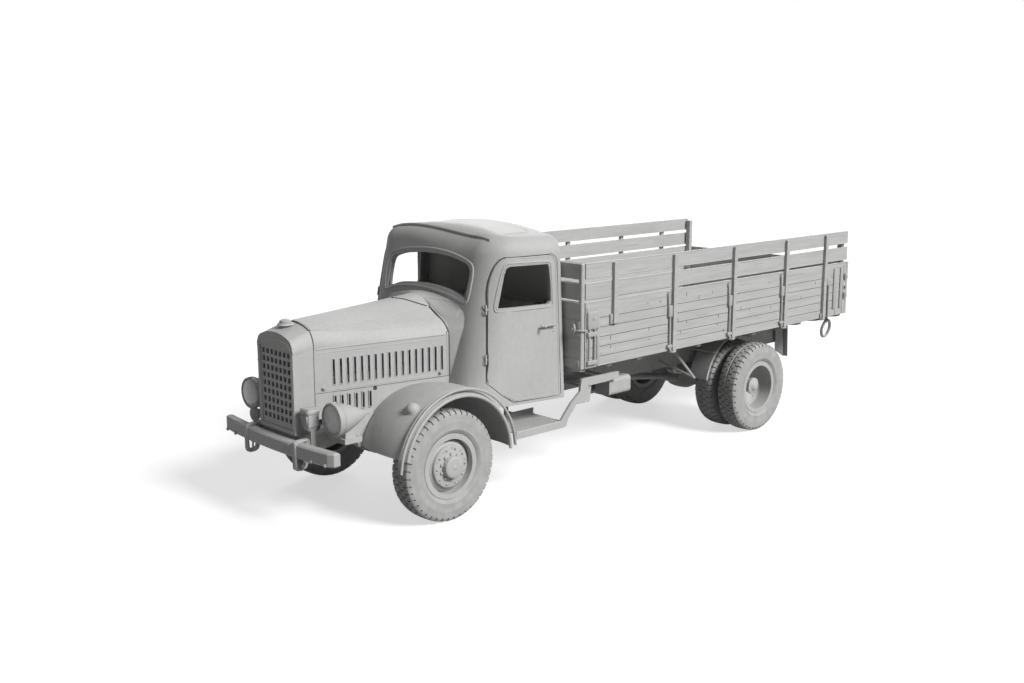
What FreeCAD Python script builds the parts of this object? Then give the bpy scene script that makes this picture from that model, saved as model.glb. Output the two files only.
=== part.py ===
import FreeCAD, Part
import math
import os

from FreeCAD import Vector

# A four and a half tonne cargo truck: long bonnet, two-door steel cab, drop-side bed with stake boards.
# Millimetres. The front faces -Y, the truck's left is +X, the ground is z = 0, the box's middle the origin.

# Overall
WHEELBASE = 4600.0
FRONT_OVERHANG = 1235.0
CLEAR = 6.0
FIT = 0.3

# Wheels and axles
TYRE_R = 515.0
TYRE_W = 250.0
RIM_R = 262.0
RIM_LIP_R = 302.0
RIM_WALL = 9.0
BEAD_IN = 28.0
FRONT_TYRE_X = 927.0
TWIN_OUTER_X = 1022.0
TWIN_INNER_X = 696.0
KINGPIN_X = 745.0
KINGPIN_R = 20.0
SPINDLE_R = 34.0
DRUM_R = 196.0
STEER_ARM = 190.0

# Frame
FRAME_OVER_AXLE = 255.0
FRAME_H = 200.0
FRAME_HALF = 430.0
FRAME_FLANGE = 70.0
FRAME_T = 8.0

# Bumper
BUMPER_H = 127.0
BUMPER_D = 95.0
BUMPER_BEND_X = 827.0
BUMPER_BOW = 55.0
BUMPER_END_X = 883.0

# Bonnet and radiator
RADIATOR_HALF = 286.0
BONNET_FRONT_HALF = 300.0
BONNET_REAR_HALF = 530.0
CREASE_X = 240.0
BONNET_SKIN = 12.0
GRILLE_COLUMNS = 7
GRILLE_ROWS = 9
GRILLE_BAR = 28.0
LOUVRES = 17

# Cab
CAB_HALF = 1048.0
CAB_BELT_OVER_FRAME = 620.0
CAB_SIDE_LEAN = 0.05
CAB_TAPER = 0.168
CAB_FRONT_LEAN = 0.196
CAB_REAR_Y = 1432.0
CAB_WALL = 36.0
CAB_CORNER_R = 330.0
CAB_BROW_R = 290.0
CAB_EDGE_R = 170.0
CAB_BACK_R = 45.0
CAB_CROWN_R = 4030.0
CAB_TOP_OVER_FRAME = 1610.0
CAB_SILL_OVER_FRAME = -45.0
DOOR_REAR_Y = 1360.0
ROOF_PANEL_HALF = 740.0
ROOF_PANEL_Y = 750.0

# Bed
BED_FRONT_Y = 1455.0
BED_LENGTH = 4738.0
BED_HALF = 1243.0
BOARD_T = 38.0
SIDE_H = 637.0
STAKE_TOP = 1013.0
RUNNER_H = 170.0
BEARER_H = 120.0
BEARER_W = 70.0
FLOOR_T = 30.0
POST_W = 54.0
POST_T = 34.0
POST_FIRST = 455.0
POST_LAST_IN = 513.0
POST_SHARES = (0.0, 0.244, 0.517, 0.782, 1.0)
STRAP_T = 12.0
EYE_OUT = 13.0

# Worked out from the sizes above
LENGTH = FRONT_OVERHANG + BED_FRONT_Y + BED_LENGTH + BOARD_T + STRAP_T + EYE_OUT
FRONT_Y = FRONT_OVERHANG - LENGTH / 2
REAR_Y = FRONT_Y + WHEELBASE
AXLE_Z = TYRE_R
RAIL_Z = AXLE_Z + FRAME_OVER_AXLE
FRAME_Z = RAIL_Z + FRAME_H
CAB_TOP = FRAME_Z + CAB_TOP_OVER_FRAME
BEARER_Z = FRAME_Z + RUNNER_H
FLOOR_Z = BEARER_Z + BEARER_H + FLOOR_T
SIDE_Z = FLOOR_Z - 73.0
BED_Y = FRONT_Y + BED_FRONT_Y
BED_END = BED_Y + BED_LENGTH
POST_SPAN = BED_LENGTH - POST_FIRST - POST_LAST_IN
POST_AT = tuple(POST_FIRST + share * POST_SPAN for share in POST_SHARES)
RAIL_MID = FRAME_HALF - FRAME_FLANGE / 2
BEARER_HALF = BED_HALF - BOARD_T - CLEAR
NOSE_TOP = RAIL_Z + 94.0
BUMPER_Z = RAIL_Z - 64.0


# Drawing

def path(points, place):
    """A closed wire. A point with a third value is the middle of an arc."""
    edges = []
    i = 0
    while i < len(points):
        start = place(*points[i][:2])
        middle = points[(i + 1) % len(points)]
        if len(middle) > 2:
            end = place(*points[(i + 2) % len(points)][:2])
            edges.append(Part.Arc(start, place(*middle[:2]), end).toShape())
            i += 2
        else:
            edges.append(Part.LineSegment(start, place(*middle[:2])).toShape())
            i += 1
    return Part.Wire(edges)


def block(x0, x1, y0, y1, z0, z1):
    return Part.makeBox(x1 - x0, y1 - y0, z1 - z0, Vector(x0, y0, z0))


def along_x(points, x0, x1):
    """A (y, z) outline drawn out along X."""
    return Part.Face(path(points, lambda y, z: Vector(x0, y, z))).extrude(Vector(x1 - x0, 0, 0))


def along_y(points, y0, y1):
    """An (x, z) outline drawn out along Y."""
    return Part.Face(path(points, lambda x, z: Vector(x, y0, z))).extrude(Vector(0, y1 - y0, 0))


def along_z(points, z0, z1):
    """An (x, y) outline drawn out along Z."""
    return Part.Face(path(points, lambda x, y: Vector(x, y, z0))).extrude(Vector(0, 0, z1 - z0))


def turned(points, y, z, degrees=360.0, start=0.0):
    """An (x, radius) outline turned about the line along X through (y, z)."""
    axis = Vector(0, y, z)
    face = Part.Face(path(points, lambda x, r: Vector(x, y + r, z)))
    face.rotate(axis, Vector(1, 0, 0), start)
    return face.revolve(axis, Vector(1, 0, 0), degrees)


def dome(x0, r0, x1):
    """Three (x, radius) points of a spherical cap from (x0, r0) to the axis at x1."""
    h = x1 - x0
    ball = (r0 * r0 + h * h) / (2 * h)
    half = math.atan2(r0, ball - h) / 2
    return [(x0, r0), (x1 - ball + ball * math.cos(half), ball * math.sin(half), 1), (x1, 0)]


def rod(start, end, radius):
    start, end = Vector(*start), Vector(*end)
    run = end - start
    return Part.makeCylinder(radius, run.Length, start, run)


def joined(shapes):
    solid = shapes[0].multiFuse(shapes[1:]) if len(shapes) > 1 else shapes[0]
    return solid.removeSplitter()


def mirrored(shape):
    return shape.mirror(Vector(0, 0, 0), Vector(1, 0, 0))


def both(shape):
    return Part.makeCompound([shape, mirrored(shape)])


def save(name, shape):
    shape.exportStep("parts/" + name + ".step")


# Frame

def rail():
    """One pressed channel rail, open towards the middle, tapered to its front horn."""
    front = bumper_front(FRAME_HALF) + BUMPER_D + FIT
    full = FRONT_Y - 760.0
    end = BED_END - 60.0
    low, horn = RAIL_Z - 58.0, RAIL_Z + 58.0
    t = FRAME_T
    outside = [(front, low), (full, RAIL_Z), (end, RAIL_Z), (end, FRAME_Z), (full, FRAME_Z), (front, horn)]
    inside = [(front - 1, low + t), (full, RAIL_Z + t), (end + 1, RAIL_Z + t),
              (end + 1, FRAME_Z - t), (full, FRAME_Z - t), (front - 1, horn - t)]
    return along_x(outside, FRAME_HALF - FRAME_FLANGE, FRAME_HALF).cut(
        along_x(inside, FRAME_HALF - FRAME_FLANGE - 1, FRAME_HALF - t))


CROSS_W = 90.0
CROSS_H = 58.0
CROSS_AT = (1190.0, 2240.0, 3150.0, WHEELBASE - 520.0, WHEELBASE + 560.0, BED_FRONT_Y + BED_LENGTH - 110.0)
CROSS_LOW = FRAME_Z - FRAME_T - CROSS_H


def crossmember(y):
    """A hat-section crossmember between the two webs, open below."""
    half = FRAME_HALF - FRAME_T
    side = CROSS_W / 2
    outer = block(-half, half, y - side, y + side, CROSS_LOW, FRAME_Z - FRAME_T)
    return outer.cut(block(-half - 1, half + 1, y - side + 7, y + side - 7, CROSS_LOW - 1,
                           FRAME_Z - FRAME_T - 7))


SPRING_W = 70.0
FRONT_SPRING_HALF = 560.0
REAR_SPRING_HALF = 700.0
EYE_Z = RAIL_Z - 62.0
EYE_R = 26.0


def spring_hanger(y):
    """A cast bracket under the rail with two ears for the spring's eye."""
    half = SPRING_W / 2 + 1.0
    ear = [(y - 45, RAIL_Z), (y - 26, EYE_Z), (y, EYE_Z - 26, 1), (y + 26, EYE_Z), (y + 45, RAIL_Z)]
    ears = [along_x(ear, RAIL_MID + side * half - (12 if side < 0 else 0),
                    RAIL_MID + side * half + (12 if side > 0 else 0)) for side in (-1, 1)]
    plate = block(RAIL_MID - half - 12, RAIL_MID + half + 12, y - 45, y + 45, RAIL_Z - 12, RAIL_Z)
    pin = rod((RAIL_MID - half - 12, y, EYE_Z), (RAIL_MID + half + 12, y, EYE_Z), 11.0)
    return joined(ears + [plate, pin])


def chassis_frame():
    rails = [rail(), mirrored(rail())]
    members = [crossmember(FRONT_Y + at) for at in CROSS_AT]
    nose_y = FRONT_Y - FRONT_OVERHANG + 150.0
    nose = block(-FRAME_HALF + FRAME_T, FRAME_HALF - FRAME_T, nose_y, nose_y + 160, RAIL_Z + 20, NOSE_TOP)
    hangers = []
    for y, half in ((FRONT_Y, FRONT_SPRING_HALF), (REAR_Y, REAR_SPRING_HALF)):
        hangers += [spring_hanger(y - half), spring_hanger(y + half)]
    hangers += [mirrored(h) for h in hangers]
    hook_z = CROSS_LOW + 26.0
    hook = Part.makeTorus(46, 15, Vector(0, BED_END - 25, hook_z), Vector(1, 0, 0))
    shank = rod((0, BED_END - 160, hook_z), (0, BED_END - 69, hook_z), 20.0)
    ring_x = FRAME_HALF - 20
    ring = Part.makeTorus(62, 11, Vector(ring_x, BED_END - 75, RAIL_Z - 55), Vector(1, 0, 0))
    ring_eye = block(ring_x - 12, ring_x + 12, BED_END - 100, BED_END - 62, RAIL_Z - 6, RAIL_Z + 10)
    loops = [ring, ring_eye, mirrored(ring), mirrored(ring_eye)]
    return joined(rails + members + [nose, hook, shank] + hangers + loops)


# Bumper


def bumper_front(x):
    """The place of the bowed bumper's front face at x."""
    return FRONT_Y - FRONT_OVERHANG + BUMPER_BOW * (x / BUMPER_BEND_X) ** 2


def front_bumper():
    """A box beam with swept, chamfered ends, held by two straps that curl under it at the frame horns."""
    y = FRONT_Y - FRONT_OVERHANG
    bend, bent = BUMPER_BEND_X, y + BUMPER_BOW
    end, tip = BUMPER_END_X, bent + 30.0
    plan = [(-end, tip), (-bend, bent), (0, y, 1), (bend, bent), (end, tip), (end, bent + BUMPER_D),
            (bend, bent + BUMPER_D), (0, y + BUMPER_D, 1), (-bend, bent + BUMPER_D), (-end, bent + BUMPER_D)]
    beam = along_z(plan, BUMPER_Z, BUMPER_Z + BUMPER_H)
    rims = [e for e in beam.Edges if abs(e.BoundBox.ZLength) < 0.01]
    beam = beam.makeChamfer(14.0, rims)
    front = bumper_front(RAIL_MID)
    back = front + BUMPER_D - 4.0
    low, high = BUMPER_Z - 84.0, BUMPER_Z + BUMPER_H + 1
    strap = [(front - 9, high + 9), (back, high + 9), (back, high - 3), (front, high - 3), (front, low),
             (front + 24, low - 24, 1), (front + 48, low), (front + 57, low), (front + 24, low - 33, 1),
             (front - 9, low)]
    straps = [along_x(strap, side * RAIL_MID - 19, side * RAIL_MID + 19) for side in (-1, 1)]
    return joined([beam] + straps)


# Radiator and bonnet

def bonnet_half(y):
    """Half width of the bonnet at y, measured from the front axle."""
    share = (y - SEAM_FRONT) / (SEAM_REAR - SEAM_FRONT)
    return BONNET_FRONT_HALF + share * (BONNET_REAR_HALF - BONNET_FRONT_HALF)


SEAM_FRONT = -930.0
SEAM_REAR = 418.0
NOSE_Y = -1139.0
BEAD_Z = FRAME_Z + 632.0
CREASE_Z = FRAME_Z + 795.0
BONNET_LOW = FRAME_Z + 238.0


def crown(y):
    """Height of the bonnet's middle line at y, measured from the front axle."""
    return FRAME_Z + 847.0 + 0.083 * (y - SEAM_FRONT)


def shoulder(half, inset=0.0):
    """The arc from the crease down to the bead, as three (x, z) points for the left side."""
    x0, z0 = CREASE_X, CREASE_Z - inset
    x1, z1 = half - inset, BEAD_Z
    bulge = 0.16 * math.hypot(x1 - x0, z1 - z0)
    nx, nz = (z0 - z1), (x1 - x0)
    size = math.hypot(nx, nz)
    middle = ((x0 + x1) / 2 + bulge * nx / size, (z0 + z1) / 2 + bulge * nz / size, 1)
    return (x0, z0), middle, (x1, z1)


def nose_section(y, half, lower, top_drop, bottom, inset=0.0):
    """The radiator's (x, z) outline: straight sides, round shoulders and an arched top."""
    bottom += inset
    crown_z = crown(SEAM_FRONT) - top_drop - inset
    crease = CREASE_Z - top_drop - inset
    bead = BEAD_Z - lower
    half -= inset
    cx = CREASE_X - inset
    mid = ((cx + half) / 2 + 16, (crease + bead) / 2 + 16)
    return path([(-half, bottom), (half, bottom), (half, bead), (mid[0], mid[1], 1), (cx, crease),
                 (0, crown_z, 1), (-cx, crease), (-mid[0], mid[1], 1), (-half, bead)],
                lambda x, z: Vector(x, y, z))


RADIATOR_BOTTOM = NOSE_TOP + FIT
NOSE_DROP = 66.0


def radiator_shell():
    """The pressed radiator surround with its header plate and filler cap."""
    front, back = FRONT_Y + NOSE_Y, FRONT_Y + SEAM_FRONT - CLEAR
    wall = 14.0
    outer = Part.makeLoft([nose_section(front, RADIATOR_HALF, 30, NOSE_DROP, RADIATOR_BOTTOM),
                           nose_section(back, BONNET_FRONT_HALF, 0, 4, RADIATOR_BOTTOM)], True)
    inner = Part.makeLoft([nose_section(front + 12, RADIATOR_HALF, 30, NOSE_DROP - 3, RADIATOR_BOTTOM, wall),
                           nose_section(back + 5, BONNET_FRONT_HALF, 0, 4, RADIATOR_BOTTOM, wall)], True)
    mouth = [(-GRILLE_HALF, GRILLE_Z), (GRILLE_HALF, GRILLE_Z), (GRILLE_HALF, GRILLE_TOP - 34),
             (0, GRILLE_TOP, 1), (-GRILLE_HALF, GRILLE_TOP - 34)]
    shell = outer.cut(inner).cut(along_y(mouth, front - 10, front + 40))
    cap_y = FRONT_Y - 1015.0
    top = crown(SEAM_FRONT) - NOSE_DROP * 0.4
    neck = Part.makeCylinder(48, 60, Vector(0, cap_y, top - 46))
    skirt = Part.makeCone(76, 64, 16, Vector(0, cap_y, top + 8))
    knob = Part.makeSphere(104, Vector(0, cap_y, top - 44)).common(
        Part.makeCylinder(54, 60, Vector(0, cap_y, top + 20)))
    return joined([shell, neck, skirt, knob])


GRILLE_HALF = 248.0
GRILLE_Z = RADIATOR_BOTTOM + 34.0
GRILLE_TOP = RADIATOR_BOTTOM + 778.0


def radiator_grille():
    """A cast grid of square holes, arched at the top, with a rim that seats behind the surround."""
    front = FRONT_Y + NOSE_Y
    edge = 6.0
    outline = [(-GRILLE_HALF - edge, GRILLE_Z - edge), (GRILLE_HALF + edge, GRILLE_Z - edge),
               (GRILLE_HALF + edge, GRILLE_TOP - 34 + edge), (0, GRILLE_TOP + edge, 1),
               (-GRILLE_HALF - edge, GRILLE_TOP - 34 + edge)]
    plate = along_y(outline, front + 12 + FIT, front + 30)
    pitch_x = 2 * (GRILLE_HALF - 12) / GRILLE_COLUMNS
    pitch_z = (GRILLE_TOP - 34 - GRILLE_Z - 54) / GRILLE_ROWS
    hole_x, hole_z = pitch_x - GRILLE_BAR, pitch_z - GRILLE_BAR
    holes = []
    for column in range(GRILLE_COLUMNS):
        for row in range(GRILLE_ROWS):
            x = -GRILLE_HALF + 12 + pitch_x * column + GRILLE_BAR / 2
            z = GRILLE_Z + 42 + pitch_z * row + GRILLE_BAR / 2
            holes.append(block(x, x + hole_x, front, front + 40, z, z + hole_z))
    return plate.cut(Part.makeCompound(holes))


def radiator_core():
    front = FRONT_Y + NOSE_Y + 45.0
    half = RADIATOR_HALF - 32.0
    core = block(-half, half, front, front + 90, RADIATOR_BOTTOM + 14 + FIT, GRILLE_TOP - 60)
    tank = Part.makeCylinder(45, 2 * half, Vector(-half, front + 45, GRILLE_TOP - 40), Vector(1, 0, 0))
    return joined([core, tank])


def bonnet_section(y, points):
    return path(points, lambda x, z: Vector(x, FRONT_Y + y, z))


LID_HINGE_R = 5.0
LID_HINGE_Z = CREASE_Z - BONNET_SKIN / 2
LID_GAP = LID_HINGE_R + 0.7


def hood_center():
    """The fixed middle strip of the bonnet, between the two hinge lines."""
    sections = []
    for y in (SEAM_FRONT - CLEAR + FIT, (SEAM_FRONT + SEAM_REAR) / 2, SEAM_REAR - FIT):
        x = CREASE_X - 2.0
        top, low = crown(y), crown(y) - BONNET_SKIN
        sections.append(bonnet_section(y, [(-x, CREASE_Z), (0, top, 1), (x, CREASE_Z),
                                           (x, CREASE_Z - BONNET_SKIN), (0, low, 1),
                                           (-x, CREASE_Z - BONNET_SKIN)]))
    panel = Part.makeLoft(sections, True)
    hinge = rod((CREASE_X, FRONT_Y + SEAM_FRONT + 30, LID_HINGE_Z),
                (CREASE_X, FRONT_Y + SEAM_REAR - 30, LID_HINGE_Z), LID_HINGE_R)
    return joined([panel, hinge, mirrored(hinge)])


def hood_lid():
    """One side of the bonnet: the sloping top and the louvred side in one lifting panel."""
    sections = []
    for y in (SEAM_FRONT, SEAM_REAR - CLEAR):
        half = bonnet_half(y)
        a, b, c = shoulder(half)
        d, e, f = shoulder(half, BONNET_SKIN)
        a = (a[0] + LID_GAP, a[1])
        d = (d[0] + LID_GAP, d[1])
        sections.append(bonnet_section(y, [a, b, c, (c[0], BONNET_LOW), (f[0], BONNET_LOW), f, e, d]))
    lid = Part.makeLoft(sections, True, True)
    slots = []
    first, last = -748.0, 335.0
    pitch = (last - first) / (LOUVRES - 1)
    for i in range(LOUVRES):
        y = FRONT_Y + first + pitch * i
        slots.append(block(200, 700, y - 11, y + 11, FRAME_Z + 300, FRAME_Z + 530))
    return lid.cut(Part.makeCompound(slots))


# Cab

def cab_front_y(z):
    """The leaning front wall's place at height z, measured from the front axle."""
    return 553.0 - (FRAME_Z + 904.0 - z) * CAB_FRONT_LEAN


def cab_half(y, z):
    """The half width of the cab's flat side at (y, z), with y measured from the front axle."""
    return CAB_HALF - CAB_SIDE_LEAN * (z - FRAME_Z - CAB_BELT_OVER_FRAME) - CAB_TAPER * (CAB_REAR_Y - y)


def cab_ring(z, inset):
    """The cab's four-cornered outline at height z, smaller by inset all round."""
    front, rear = cab_front_y(z) + inset, CAB_REAR_Y - inset
    corners = [(-1, front), (1, front), (1, rear), (-1, rear), (-1, front)]
    return Part.makePolygon([Vector(s * (cab_half(y, z) - inset), FRONT_Y + y, z) for s, y in corners])


def rolled(solid, edges):
    """Rolls each (edge number, radius at its start, radius at its end) with a growing radius."""
    paper = FreeCAD.newDocument("rolled")
    base = paper.addObject("Part::Feature", "base")
    base.Shape = solid
    roll = paper.addObject("Part::Fillet", "roll")
    roll.Base = base
    roll.Edges = edges
    paper.recompute()
    result = roll.Shape.copy()
    FreeCAD.closeDocument(paper.Name)
    return result


def cab_block(inset):
    """The whole cab as one block with rolled corners, brow and roof edges, smaller by inset all round."""
    low = FRAME_Z + CAB_SILL_OVER_FRAME - abs(inset)
    rear = FRONT_Y + CAB_REAR_Y - inset
    body = Part.makeLoft([cab_ring(low, inset), cab_ring(CAB_TOP + 220, inset)], True, True)
    front_corners = [e for e in body.Edges if e.BoundBox.ZLength > 1000 and e.BoundBox.YMax < FRONT_Y + 1200]
    body = body.makeFillet(CAB_CORNER_R - inset, front_corners)
    crown_r = CAB_CROWN_R - inset
    eaves = CAB_TOP - CAB_CROWN_R + math.sqrt(crown_r ** 2 - 1400.0 ** 2)
    body = body.common(along_y([(-1400, low - 9), (1400, low - 9), (1400, eaves), (0, CAB_TOP - inset, 1),
                                (-1400, eaves)], FRONT_Y, FRONT_Y + 1700))
    rolls = []
    for number, edge in enumerate(body.Edges, 1):
        box = edge.BoundBox
        if box.ZMin < CAB_TOP - 300 or box.YMin > rear - 1:
            continue
        ends = [edge.valueAt(at).y for at in (edge.FirstParameter, edge.LastParameter)]
        brow = [box.YMax < FRONT_Y + 1200 and y < box.YMin + 60 for y in ends]
        rolls.append((number, *[(CAB_BROW_R if near else CAB_EDGE_R) - inset for near in brow]))
    body = rolled(body, rolls)
    back = [e for e in body.Edges if e.BoundBox.YMin > rear - 1 and e.BoundBox.ZMax > low + 10]
    return body.makeFillet(CAB_BACK_R - inset, back)


DOOR_LIP_T = 10.0
DOOR_LIP_W = 30.0
DOOR_LINE = ((557, 200), (642, 1030), (662, 1129), (696, 1227), (722, 1280), (757, 1325), (794, 1344),
             (DOOR_REAR_Y - 88, 1347), (DOOR_REAR_Y - 20, 1327, 1), (DOOR_REAR_Y, 1262), (DOOR_REAR_Y, 10),
             (DOOR_REAR_Y - 24, -14), (819, -14), (675, 88))


def door_block(gap):
    """The door's outline drawn out across the cab's left side, larger by gap all round."""
    face = Part.Face(path(DOOR_LINE, lambda y, z: Vector(735, FRONT_Y + y, FRAME_Z + z)))
    if gap:
        face = face.makeOffset2D(gap)
    return face.extrude(Vector(600, 0, 0))


def window_outline():
    y, z = FRONT_Y, FRAME_Z
    return [(y + 705, z + 880), (y + 1250, z + 878), (y + 1280, z + 907), (y + 1280, z + 1205),
            (y + 1270, z + 1245, 1), (y + 1232, z + 1260), (y + 850, z + 1262), (y + 814, z + 1249, 1),
            (y + 791, z + 1220)]


def windscreen_outline():
    """The windscreen opening seen from the front: arched sill and head, round upper corners."""
    z = FRAME_Z
    return [(-606, z + 948), (0, z + 1040, 1), (606, z + 948), (606, z + 1165), (588, z + 1235, 1),
            (525, z + 1277), (0, z + 1341, 1), (-525, z + 1277), (-588, z + 1235, 1), (-606, z + 1165)]


def cowl():
    """The scuttle from the bonnet's rear seam out to the cab's front wall."""
    y0, y1 = SEAM_REAR, 588.0
    low = BONNET_LOW - 30
    half = BONNET_REAR_HALF
    a, b, c = shoulder(half)
    wide = [(-700, low), (700, low), (700, FRAME_Z + 750), (688, FRAME_Z + 842, 1), (624, FRAME_Z + 886),
            (0, FRAME_Z + 968, 1), (-624, FRAME_Z + 886), (-688, FRAME_Z + 842, 1), (-700, FRAME_Z + 750)]
    narrow = [(-half, low), (half, low), c, b, a, (0, crown(y0), 1), (-a[0], a[1]), (-b[0], b[1], 1),
              (-c[0], c[1])]
    outer = Part.makeLoft([bonnet_section(y0, narrow), bonnet_section(y1, wide)], True, True)
    return outer.cut(block(-half + 40, half - 40, FRONT_Y + y0 - 5, FRONT_Y + y1 + 5, low - 5, BEAD_Z + 40))


def arch_line(gap):
    """The wing's top as an (x, radius) line about the arch's axis, larger by gap."""
    r = FENDER_R + gap
    return [(WING_INNER_X, r - 118), (590, r - 26, 1), (830, r), (940, r - 2, 1), (1050, r - 18)]


def arch_space(gap):
    """All the room under the left wing, with the wing itself."""
    lip = FENDER_R + gap - 50
    outline = [(WING_INNER_X, 0)] + arch_line(gap) + [(1140, lip), (1300, lip), (1300, 0)]
    return turned(outline, FRONT_Y + ARCH_Y, ARCH_Z)


ARCH_Y = 40.0
ARCH_Z = AXLE_Z + 45.0
FENDER_R = 672.0
FENDER_T = 6.0
WING_INNER_X = 330.0


def cab_skin():
    return cab_block(0.0).cut(cab_block(CAB_WALL))


def cab_shell():
    """Sills, front wall, scuttle, pillars, back wall and roof shoulders."""
    shell = joined([cab_skin(), cowl()])
    shell = shell.cut(cab_block(CAB_WALL))
    door = door_block(CLEAR)
    arch = arch_space(FIT)
    windscreen = along_y(windscreen_outline(), FRONT_Y + 300, FRONT_Y + 800)
    back = block(-250, 250, FRONT_Y + 1300, FRONT_Y + 1500, FRAME_Z + 960, FRAME_Z + 1210)
    foot = block(-FRAME_HALF - 5, FRAME_HALF + 5, FRONT_Y + 300, FRONT_Y + 1500, 0, FRAME_Z + FIT)
    tunnel = block(-260, 260, FRONT_Y + 300, FRONT_Y + 720, 0, FRAME_Z + 420)
    column = steering_shaft(COLUMN_R + 3.0)
    for tool in (door, mirrored(door), windscreen, back, arch, mirrored(arch), foot, tunnel, column,
                 roof_cut(FIT)):
        shell = shell.cut(tool)
    return hinge_leaves(shell, False)


def roof_cut(gap):
    x = ROOF_PANEL_HALF + gap
    y0, y1 = FRONT_Y + ROOF_PANEL_Y - gap, FRONT_Y + CAB_REAR_Y - 120 + gap
    return block(-x, x, y0, y1, CAB_TOP - 400, CAB_TOP + 50)


def cab_roof():
    """The separate middle roof panel, set into the shoulders."""
    return cab_skin().common(roof_cut(0.0))


HINGE_FOOT = (875.5, FRONT_Y + 566.0, FRAME_Z + 415.0)
HINGE_HEAD = (827.0, FRONT_Y + 612.5, FRAME_Z + 873.0)
HINGE_R = 8.5
HINGE_PIN_R = 4.0
HINGE_IN = 16.0


def hinge_leaves(shape, moving):
    """Adds the door hinges' fixed knuckles and pins, or their moving knuckles, along the leaning seam."""
    foot, head = Vector(*HINGE_FOOT), Vector(*HINGE_HEAD)
    up = (head - foot).normalize()
    along = Vector(0.8, 0.6, 0)
    along = (along - up * along.dot(up)).normalize()
    out = along.cross(up)
    solids = [shape]

    def leaf(middle, t0, t1, half):
        corners = [middle + along * t + out * n - up * half for t, n in
                   ((t0, -HINGE_IN), (t1, -HINGE_IN), (t1, -2.0), (t0, -2.0), (t0, -HINGE_IN))]
        return Part.Face(Part.makePolygon(corners)).extrude(up * 2 * half)

    for middle in (foot, head):
        if moving:
            bore = Part.makeCylinder(HINGE_PIN_R + FIT, 80, middle - up * 40, up)
            knuckle = Part.makeCylinder(HINGE_R, 28, middle - up * 14, up)
            solids.append(joined([knuckle, leaf(middle, 4.5, 30, 14)]).cut(bore))
        else:
            for side in (-30, 30):
                at = middle + up * side
                knuckle = Part.makeCylinder(HINGE_R, 30, at - up * 15, up)
                solids += [knuckle, leaf(at, -30, -4.5, 15)]
            solids.append(Part.makeCylinder(HINGE_PIN_R, 90, middle - up * 45, up))
    if moving:
        return joined(solids)
    return joined(solids + [mirrored(s) for s in solids[1:]])


def door():
    """The left door: pressed panel as thick as the wall, window cut, handle near its rear edge."""
    panel = cab_skin().common(door_block(0.0))
    corner = block(700, 1100, FRONT_Y + 640, FRONT_Y + 840, FRAME_Z + 1090, FRAME_Z + 1400)
    rebate = cab_block(DOOR_LIP_T).cut(door_block(-DOOR_LIP_W)).common(corner)
    panel = panel.cut(rebate).cut(along_x(window_outline(), 700, 1300))
    z = FRAME_Z + 682.0
    ends = [(cab_half(y, z) + 38, FRONT_Y + y, z) for y in (1128.0, 1300.0)]
    grip = rod(*ends, 9.0)
    neck_y = FRONT_Y + 1286.0
    neck = rod((cab_half(1286.0, z) - 20, neck_y, z), (cab_half(1286.0, z) + 38, neck_y, z), 6.5)
    return hinge_leaves(joined([panel, grip, neck]), True)


FLOOR_TOP = FRAME_Z + 60.0
FLOOR_PLATE = 20.0
TOE_HALF = 555.0


def cab_floor():
    """The floor plate with the sloping toe board, on two sills over the frame."""
    y0, y1 = FRONT_Y + 740, FRONT_Y + CAB_REAR_Y - CAB_WALL - FIT
    inside = cab_block(CAB_WALL + CLEAR)
    plate = inside.common(block(-CAB_HALF - 60, CAB_HALF + 60, y0, y1, FLOOR_TOP - FLOOR_PLATE, FLOOR_TOP))
    half = TOE_HALF
    toe = along_x([(FRONT_Y + 500, FLOOR_TOP + 300), (FRONT_Y + 510, FLOOR_TOP + 310), (y0 + 10, FLOOR_TOP),
                   (y0, FLOOR_TOP - FLOOR_PLATE)], -half, half)
    sills = [block(s * RAIL_MID - 30, s * RAIL_MID + 30, y0, y1, FRAME_Z + FIT, FLOOR_TOP - FLOOR_PLATE)
             for s in (-1, 1)]
    return joined([plate, toe] + sills).cut(steering_shaft(COLUMN_R + 3.0))


def dashboard():
    """The fascia, seated on the sloping front wall under the windscreen."""
    low, high = FRAME_Z + 700.0, FRAME_Z + 885.0
    wall_low = FRONT_Y + cab_front_y(low) + CAB_WALL + FIT
    wall_high = FRONT_Y + cab_front_y(high) + CAB_WALL + FIT
    return along_x([(wall_low, low), (wall_low + 70, low + 10), (wall_high + 62, high - 35),
                    (wall_high, high)],
                   -590, 590)


COLUMN_X = 420.0
COLUMN_R = 24.0
COLUMN_TOP = (COLUMN_X, FRONT_Y + 850.0, FRAME_Z + 700.0)
COLUMN_FOOT = (COLUMN_X, FRONT_Y + 320.0, FRAME_Z + 90.0)


def steering_shaft(radius):
    return rod(COLUMN_FOOT, COLUMN_TOP, radius)


def steering_column():
    """The column in its gear box, which stands on the left rail."""
    y = COLUMN_FOOT[1]
    box = block(COLUMN_X - 45, COLUMN_X + 45, y - 90, y + 45, FRAME_Z + FIT, FRAME_Z + 130)
    box = box.makeFillet(14.0, [e for e in box.Edges if e.BoundBox.ZMin > FRAME_Z + 5])
    return joined([steering_shaft(COLUMN_R), box])


def steering_wheel():
    """Four-spoke wheel on the column's upper end."""
    foot, top = Vector(*COLUMN_FOOT), Vector(*COLUMN_TOP)
    axis = (top - foot).normalize()
    centre = top + axis * 40
    rim = Part.makeTorus(232, 13, centre, axis)
    hub = Part.makeCylinder(36, 34, top + axis * FIT, axis)
    side = Vector(1, 0, 0)
    up = axis.cross(side)
    spokes = []
    for k in range(4):
        angle = math.radians(45 + 90 * k)
        way = side * math.cos(angle) + up * math.sin(angle)
        spokes.append(Part.makeCylinder(9, 228, top + axis * 18, way * 228 + axis * 20))
    return joined([rim, hub] + spokes)


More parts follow.
